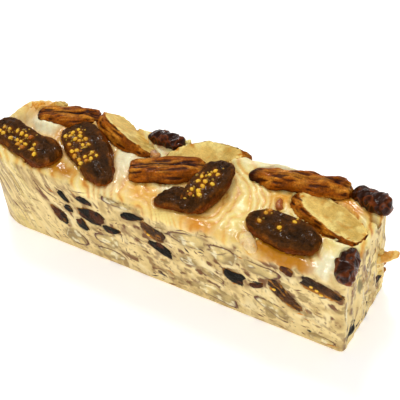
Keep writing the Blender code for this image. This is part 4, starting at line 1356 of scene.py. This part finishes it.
def add_flush_piece(name, face, centre, length, thickness, tilt, kind, has_solid=True):
    """A piece of a kind, cut through flush with a face."""
    variety = sum(map(ord, name))
    mesh, points, share, ways = flush_piece(
        name, face, np.array(centre), length, thickness, tilt, variety, RAGGED[kind]
    )
    paint = PAINTERS[kind](points, share, ways, variety, BROWNED.get(name, 0.0))
    nodes = [name] if has_solid else ()
    add_piece(name + "_cut", mesh, points, materials[kind], paint, PIECE_WET, nodes)


nougat_points, nougat_faces = add_nougat()
nougat_tree = tree_of(nougat_points, nougat_faces[:-1])

# The cut faces: which way runs along each, up it and into the bar.
FRONT = ((1, 0, 0), (0, 0, 1), (0, 1, 0))
END = ((0, 1, 0), (0, 0, 1), (-1, 0, 0))
BACK = ((-1, 0, 0), (0, 0, 1), (0, -1, 0))
for name, (x, z, *piece) in FRONT_PIECES.items():
    add_flush_piece(name, FRONT, (x, -HALF_WIDTH, z), *piece, kind_of(name))
for name, (y, z, *piece) in END_PIECES.items():
    add_flush_piece(name, END, (CUT_END, y, z), *piece, kind_of(name))


def add_back_pieces():
    """The back's pieces, each fitted to its solid. Returns x and z of each, and how far it reaches."""
    taken = []
    for name in sorted(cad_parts):
        if "_back_" not in name or name in PECANS or name in RAISINS:
            continue
        low, high = (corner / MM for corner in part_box(name))
        span = high - low
        centre = (0.5 * (low.x + high.x), HALF_WIDTH, 0.5 * (low.z + high.z))
        length, thickness = max(span.x, span.z), min(span.x, span.z)
        add_flush_piece(name, BACK, centre, length, thickness, 0.0, kind_of(name))
        taken.append((centre[0], centre[2], 0.5 * length))
    return taken


# Thin slices in the back that have no solid of their own, so that it is as full as the front.
MORE_SLICES = 22
SLICE_LENGTHS = (4.0, 11.0)
SLICE_SHAPES = (0.35, 0.6)
SLICE_KINDS = ("pecan_cut", "pecan_cut", "pecan_cut", "dark_fruit", "dark_fruit", "fig")
SLICE_X = (-50.0, 54.0)
SLICE_Z = (3.5, 26.5)
# The middle and the spread of the tilt, in degrees.
SLICE_TILT = (10.0, 18.0)
# How far a slice keeps clear, as a share of its length, and how much more upwards than along.
SLICE_CLEAR = 0.55
SLICE_UPWARD = 1.6
TRIES_PER_SLICE = 30


def add_more_slices(taken):
    """Slices by chance over the back, clear of what is taken and of each other."""
    made = 0
    for _ in range(MORE_SLICES * TRIES_PER_SLICE):
        if made == MORE_SLICES:
            break
        x, z = shade_draw.uniform(*SLICE_X), shade_draw.uniform(*SLICE_Z)
        length = shade_draw.uniform(*SLICE_LENGTHS)
        thickness = length * shade_draw.uniform(*SLICE_SHAPES)
        tilt = shade_draw.gauss(*SLICE_TILT)
        kind = shade_draw.choice(SLICE_KINDS)
        own_reach = SLICE_CLEAR * length
        if any(math.hypot(x - a, SLICE_UPWARD * (z - b)) < own_reach + reach for a, b, reach in taken):
            continue
        taken.append((x, z, own_reach))
        made += 1
        add_flush_piece(f"slice_back_{made}", BACK, (x, HALF_WIDTH, z), length, thickness, tilt, kind, False)


add_more_slices(add_back_pieces())

# Shreds of skin and fruit that show on the front: x, z, length, width, tilt in degrees, bend, colour.
FRONT_SHREDS = (
    (-41.0, 23.3, 8.0, 0.8, -31.0, 0.6, NUT_SKIN),
    (-54.1, 19.5, 4.4, 0.7, -67.0, 0.4, NUT_SKIN),
    (-56.2, 11.5, 3.2, 0.9, -44.0, 0.3, SPECK_BROWN),
    (-28.0, 29.8, 3.6, 0.9, -48.0, 0.9, FRUIT_BROWN),
    (-28.4, 28.2, 8.4, 0.5, 12.0, 0.5, SPECK_BROWN),
    (-32.2, 7.8, 4.2, 0.6, -9.0, 0.4, NUT_SKIN),
    (-19.5, 5.8, 9.2, 0.6, -14.0, 0.7, NUT_SKIN),
    (-12.6, 8.6, 3.6, 0.7, -60.0, 0.6, NUT_SKIN),
    (-14.8, 15.6, 6.4, 0.6, -72.0, -1.2, NUT_SKIN),
    (-7.1, 17.4, 5.4, 0.7, -19.0, 0.5, NUT_SKIN),
    (-12.6, 31.0, 10.6, 1.0, -4.0, -1.2, NUT_SKIN),
    (-0.8, 4.6, 3.4, 1.8, -24.0, 0.3, FRUIT_BROWN),
    (2.8, 1.6, 3.0, 1.2, 10.0, 0.2, SPECK_BROWN),
    (3.6, 24.8, 3.4, 0.9, 20.0, 0.4, FRUIT_BROWN),
    (9.0, 28.0, 5.0, 0.6, 12.0, -0.8, NUT_SKIN),
    (20.0, 11.6, 4.4, 0.6, -19.0, 0.4, NUT_SKIN),
    (32.0, 17.6, 5.0, 0.9, 14.0, 0.4, FRUIT_BLACK),
    (46.6, 11.0, 2.6, 1.3, 8.0, 0.0, ORANGE),
    (49.2, 4.9, 1.5, 1.3, 0.0, 0.0, FRUIT_BLACK),
    (54.4, 2.4, 7.4, 1.0, -6.0, 0.5, ORANGE),
    (41.3, 8.0, 3.4, 0.7, -32.0, 0.4, NUT_SKIN),
    (33.3, 3.3, 2.6, 0.9, -10.0, 0.2, SPECK_BROWN),
    (40.4, 1.9, 3.6, 0.9, -12.0, 0.2, SPECK_BROWN),
    (35.0, 22.6, 5.0, 0.6, 12.0, 0.6, NUT_SKIN),
    (19.6, 24.6, 6.4, 0.7, 14.0, -0.9, NUT_SKIN),
    (16.8, 29.4, 4.2, 0.6, 8.0, 0.3, SPECK_BROWN),
    (29.2, 11.2, 3.4, 0.4, -12.0, 0.2, SPECK_BROWN),
)
# On the cut end: y, z, and the rest as above.
END_SHREDS = (
    (-10.2, 6.6, 7.0, 2.4, 78.0, 0.6, FRUIT_BLACK),
    (-6.6, 28.0, 4.0, 1.2, 70.0, 0.3, NUT_SKIN),
    (1.6, 6.2, 3.4, 1.6, 60.0, 0.4, FRUIT_BROWN),
    (8.7, 23.1, 3.0, 1.4, 80.0, 0.3, FRUIT_BROWN),
    (-13.2, 17.0, 10.0, 1.2, 88.0, 0.3, WHITE),
    (-3.0, 16.0, 10.0, 0.8, 80.0, 0.4, WHITE),
    (12.0, 8.0, 4.0, 1.5, 70.0, 0.3, ORANGE),
)
SHRED_STATIONS = 11
SHRED_PROUD = 0.07
SHRED_DEPTH = 0.35
SHRED_SINK = 0.04
SHRED_UNEVEN = 0.8
# How thin a shred's ends are, as a share of its width, and how its width falls towards them.
SHRED_TIP = 0.12
SHRED_TAPER = 0.6
# How many more lie on each face by chance, and their lengths and widths.
SCATTERED = {"front": 110, "back": 130, "end": 40}
SCATTER_LENGTHS = (0.7, 3.4)
SCATTER_WIDTHS = (0.35, 1.0)
SCATTER_COLOURS = (SPECK_BROWN, SPECK_BROWN, CUT_GREY, CUT_GREY, NUT_HALO, FRUIT_AMBER, FRUIT_BROWN)
# No sliver reaches up into the coating.
COATING_FROM = 31.4
# The tilt of scattered shreds in degrees: its middle and spread on the long faces, how much it changes at the
# left end, from where and over what length, and its middle and spread on the cut end. Then how far they bend.
SCATTER_LEAN = -14.0
SCATTER_TILT = 26.0
NOSE_LEAN = -40.0
NOSE_LEAN_FROM = -40.0
NOSE_LEAN_OVER = 14.0
END_LEANS = (80.0, 15.0)
SCATTER_BEND = 0.12
# Golden seeds in the cut figs of the front: x, z.
FRONT_SEEDS = ((-3.5, 20.9), (38.3, 17.5), (51.6, 23.9), (52.9, 22.6), (49.9, 24.6))
FRONT_SEED_RADIUS = 0.66
FRONT_SEED_SINK = 0.25


def on_face(face, spot):
    """The block's surface under a spot of one of its faces."""
    inward = Vector(face[2])
    hit, _, _, away = nougat_tree.ray_cast(Vector(spot) - inward * SHRED_SEARCH, inward)
    return np.array(hit) if hit and away < SHRED_SEARCH + DEEPEST_CUT else None


def add_shred(cluster, face, centre, length, width, tilt, bend, colour):
    """A thin curved sliver that lies in a face and tapers to both ends."""
    across, up, inward = (np.array(direction, float) for direction in face)
    turn = math.radians(tilt)
    along = across * math.cos(turn) + up * math.sin(turn)
    aside = up * math.cos(turn) - across * math.sin(turn)
    points, fade = [], []
    for s in np.linspace(-1.0, 1.0, SHRED_STATIONS):
        middle = np.array(centre, float) + along * (0.5 * length * s) + aside * (bend * (s * s - 0.5))
        wobble = 1.0 + SHRED_UNEVEN * noise.noise(Vector(middle * 0.9))
        half = 0.5 * width * wobble * max(SHRED_TIP, 1.0 - s * s) ** SHRED_TAPER
        spots = [on_face(face, middle + aside * shift) for shift in (half, 0.0, -half)]
        if any(spot is None for spot in spots) or middle[2] > COATING_FROM:
            return
        fade += [0.45 * s * s + 0.25 * noise.noise(Vector(middle * 1.3))] * 4
        left, ridge, right = spots
        points += [left + inward * SHRED_SINK, ridge - inward * SHRED_PROUD, right + inward * SHRED_SINK]
        points.append(ridge + inward * SHRED_DEPTH)
    faces = []
    for ring in range(SHRED_STATIONS - 1):
        start = 4 * ring
        for i in range(4):
            after = (i + 1) % 4
            faces.append([start + i, start + after, start + 4 + after, start + 4 + i])
    last = 4 * (SHRED_STATIONS - 1)
    faces += [[3, 2, 1, 0], [last, last + 1, last + 2, last + 3]]
    cluster.add(np.array(points), faces, painted(colour, len(points), (CUT_SHADE, np.array(fade))))


def scatter_on(cluster, face, count, reach, origin):
    """Small shreds by chance over a face, laid along the flow, within the reach: along it and up."""
    low, high, bottom, top = reach
    across, up = (np.array(direction, float) for direction in face[:2])
    for _ in range(count):
        u, w = shade_draw.uniform(low, high), shade_draw.uniform(bottom, top)
        tilt = shade_draw.gauss(0.0, SCATTER_TILT) + SCATTER_LEAN
        x = u * across[0]
        tilt = tilt + NOSE_LEAN * max(0.0, min(1.0, (NOSE_LEAN_FROM - x) / NOSE_LEAN_OVER))
        if not across[0]:
            tilt = END_LEANS[0] + shade_draw.gauss(0.0, END_LEANS[1])
        length = shade_draw.uniform(*SCATTER_LENGTHS)
        width = shade_draw.uniform(*SCATTER_WIDTHS)
        bend = SCATTER_BEND * length * shade_draw.uniform(-1.0, 1.0)
        colour = shade_draw.choice(SCATTER_COLOURS)
        add_shred(cluster, face, np.array(origin) + across * u + up * w, length, width, tilt, bend, colour)


def add_shreds():
    """All the slivers of skin, fruit and nut in the cut faces, as one mesh."""
    cluster = Cluster()
    for x, z, *shred in FRONT_SHREDS:
        add_shred(cluster, FRONT, (x, -HALF_WIDTH, z), *shred)
    for y, z, *shred in END_SHREDS:
        add_shred(cluster, END, (CUT_END, y, z), *shred)
    scatter_on(cluster, FRONT, SCATTERED["front"], (-62.0, 58.0, 2.0, 28.5), (0.0, -HALF_WIDTH, 0.0))
    scatter_on(cluster, BACK, SCATTERED["back"], (-58.0, 62.0, 2.0, 28.5), (0.0, HALF_WIDTH, 0.0))
    scatter_on(cluster, END, SCATTERED["end"], (-13.5, 13.5, 2.0, 29.0), (CUT_END, 0.0, 0.0))
    cluster.finish("cut_face_shreds", "pecan_cut", 0.3)


def add_front_seeds():
    """Seeds in the cut figs of the front, as one mesh."""
    cluster = Cluster()
    for x, z in FRONT_SEEDS:
        spot = on_face(FRONT, (x, -HALF_WIDTH, z)) + np.array((0.0, FRONT_SEED_SINK, 0.0))
        cluster.add_ball(spot, FRONT_SEED_RADIUS * SEED_STRETCH, 0.0, linear(SEED_GOLD))
    cluster.finish("cut_face_seeds", "seed", 0.0)


# Crumbs: the middle of each group, how far it strays along, across and up, how many, sizes, colour.
CRUMBS = (
    ((-5.2, 14.4, 33.6), (2.6, 0.9, 0.4), 9, (0.5, 1.3), TOP_CREAM),
    ((-53.2, 12.8, 33.4), (1.8, 0.7, 0.7), 7, (0.4, 0.9), PECAN_FLESH),
    ((-60.0, 9.0, 33.2), (4.0, 1.4, 0.3), 8, (0.4, 0.9), CARAMEL),
    ((59.6, 13.8, 9.0), (0.4, 0.5, 4.0), 5, (0.7, 1.3), FRUIT_AMBER),
    ((60.4, 4.0, 12.0), (0.4, 7.0, 9.0), 16, (0.3, 0.8), CUT_CREAM),
    ((61.0, 11.0, 17.0), (0.8, 2.2, 1.6), 14, (0.5, 1.2), PECAN_FLESH),
    ((61.0, 11.5, 15.0), (0.8, 2.0, 1.2), 8, (0.5, 1.1), ORANGE),
    ((31.0, -9.0, 32.2), (1.2, 3.0, 0.2), 6, (0.3, 0.6), TOP_CREAM),
)
# How crumbs differ: in each of their three sizes and in tone, and how ragged they are.
CRUMB_SHAPES = (0.7, 1.2)
CRUMB_TONES = (0.75, 1.05)
CRUMB_RAGGED = 0.5


def add_crumbs():
    """Crumbs that stick to the top and to the torn end."""
    cluster = Cluster()
    for middle, stray, count, sizes, colour in CRUMBS:
        for _ in range(count):
            spot = [m + s * shade_draw.uniform(-1.0, 1.0) for m, s in zip(middle, stray)]
            near = nougat_tree.find_nearest(Vector(spot))[0]
            radius = shade_draw.uniform(*sizes)
            radii = radius * np.array([shade_draw.uniform(*CRUMB_SHAPES) for _ in range(3)])
            tone = linear(colour) * shade_draw.uniform(*CRUMB_TONES)
            cluster.add_ball(near, radii, shade_draw.uniform(0.0, TURN), tone, CRUMB_RAGGED)
    cluster.finish("crumbs", "pecan_cut", 0.2)


add_shreds()
add_front_seeds()
add_crumbs()


# The camera: its lens, its place, and which way is right, up and back in its picture.
LENS = 90.0
SENSOR = 36.0
CAMERA_AT = (128.87, -175.70, 233.98)
CAMERA_WAYS = ((0.85987, 0.50385, -0.08223), (-0.30246, 0.63253, 0.71304), (0.41127, -0.58825, 0.69629))
ROOM_COLOUR = (1.0, 0.99, 0.97, 1.0)
ROOM_STRENGTH = 0.54
# The lamps: name, energy, width in degrees, and the way towards each.
LAMPS = (
    ("key", 1.05, 16.0, (-0.32, 0.42, 0.85)),
    ("sparkle", 0.22, 3.0, (-0.32, 0.42, 0.85)),
    ("fill", 0.68, 50.0, (0.25, -0.85, 0.46)),
)
# The floor: half its size in metres, how far it lies under the bar, its faint shading, and its looks.
FLOOR_HALF = 1.5
FLOOR_DROP = 0.02
FLOOR_PITCH = 60.0
FLOOR_SHADES = (0.97, 0.99)
FLOOR_ROUGHNESS = 0.7
FLOOR_SHINE = 0.1
FLOOR_GLOW = 0.38


def add_camera():
    """A long lens from the front right and above, rolled a little, as the photograph was taken."""
    camera = add_object("camera", bpy.data.cameras.new("camera"))
    camera.data.lens = LENS
    camera.data.sensor_width = SENSOR
    turn = Matrix(CAMERA_WAYS).transposed().to_4x4()
    camera.matrix_world = Matrix.Translation(Vector(CAMERA_AT) * MM) @ turn
    bpy.context.scene.camera = camera


def add_lights():
    """A white room, one lamp high on the left and behind for the gloss, and a broad one for the cut front."""
    world = bpy.data.worlds.new("white_room")
    world.use_nodes = True
    room = world.node_tree.nodes["Background"]
    room.inputs["Color"].default_value = ROOM_COLOUR
    room.inputs["Strength"].default_value = ROOM_STRENGTH
    bpy.context.scene.world = world
    for name, energy, width, towards_lamp in LAMPS:
        lamp = bpy.data.lights.new(name, "SUN")
        lamp.energy = energy
        lamp.angle = math.radians(width)
        way = -Vector(towards_lamp)
        add_object(name, lamp).rotation_euler = way.to_track_quat("-Z", "Y").to_euler()


def add_floor():
    """A wide white floor."""
    mesh = bpy.data.meshes.new("floor")
    corners = [(x * FLOOR_HALF, y * FLOOR_HALF, 0.0) for x, y in ((-1, -1), (1, -1), (1, 1), (-1, 1))]
    mesh.from_pydata(corners, [], [(0, 1, 2, 3)])
    material = bpy.data.materials.new("floor_white")
    material.use_nodes = True
    tree = material.node_tree
    shader = tree.nodes["Principled BSDF"]
    shade = spread(tree, texture(tree, FLOOR_PITCH), *TEXTURE_RANGE, *FLOOR_SHADES)
    tint = add_node(tree, "ShaderNodeCombineColor")
    for channel in tint.inputs[:3]:
        tree.links.new(shade, channel)
    tree.links.new(tint.outputs["Color"], shader.inputs["Base Color"])
    shader.inputs["Roughness"].default_value = FLOOR_ROUGHNESS
    shader.inputs["Specular IOR Level"].default_value = FLOOR_SHINE
    shader.inputs["Emission Color"].default_value = (1.0, 1.0, 1.0, 1.0)
    shader.inputs["Emission Strength"].default_value = FLOOR_GLOW
    mesh.materials.append(material)
    floor = add_object("floor", mesh)
    floor.location.z = -FLOOR_DROP * MM


add_camera()
add_lights()
add_floor()
bpy.context.scene.view_settings.view_transform = "Standard"
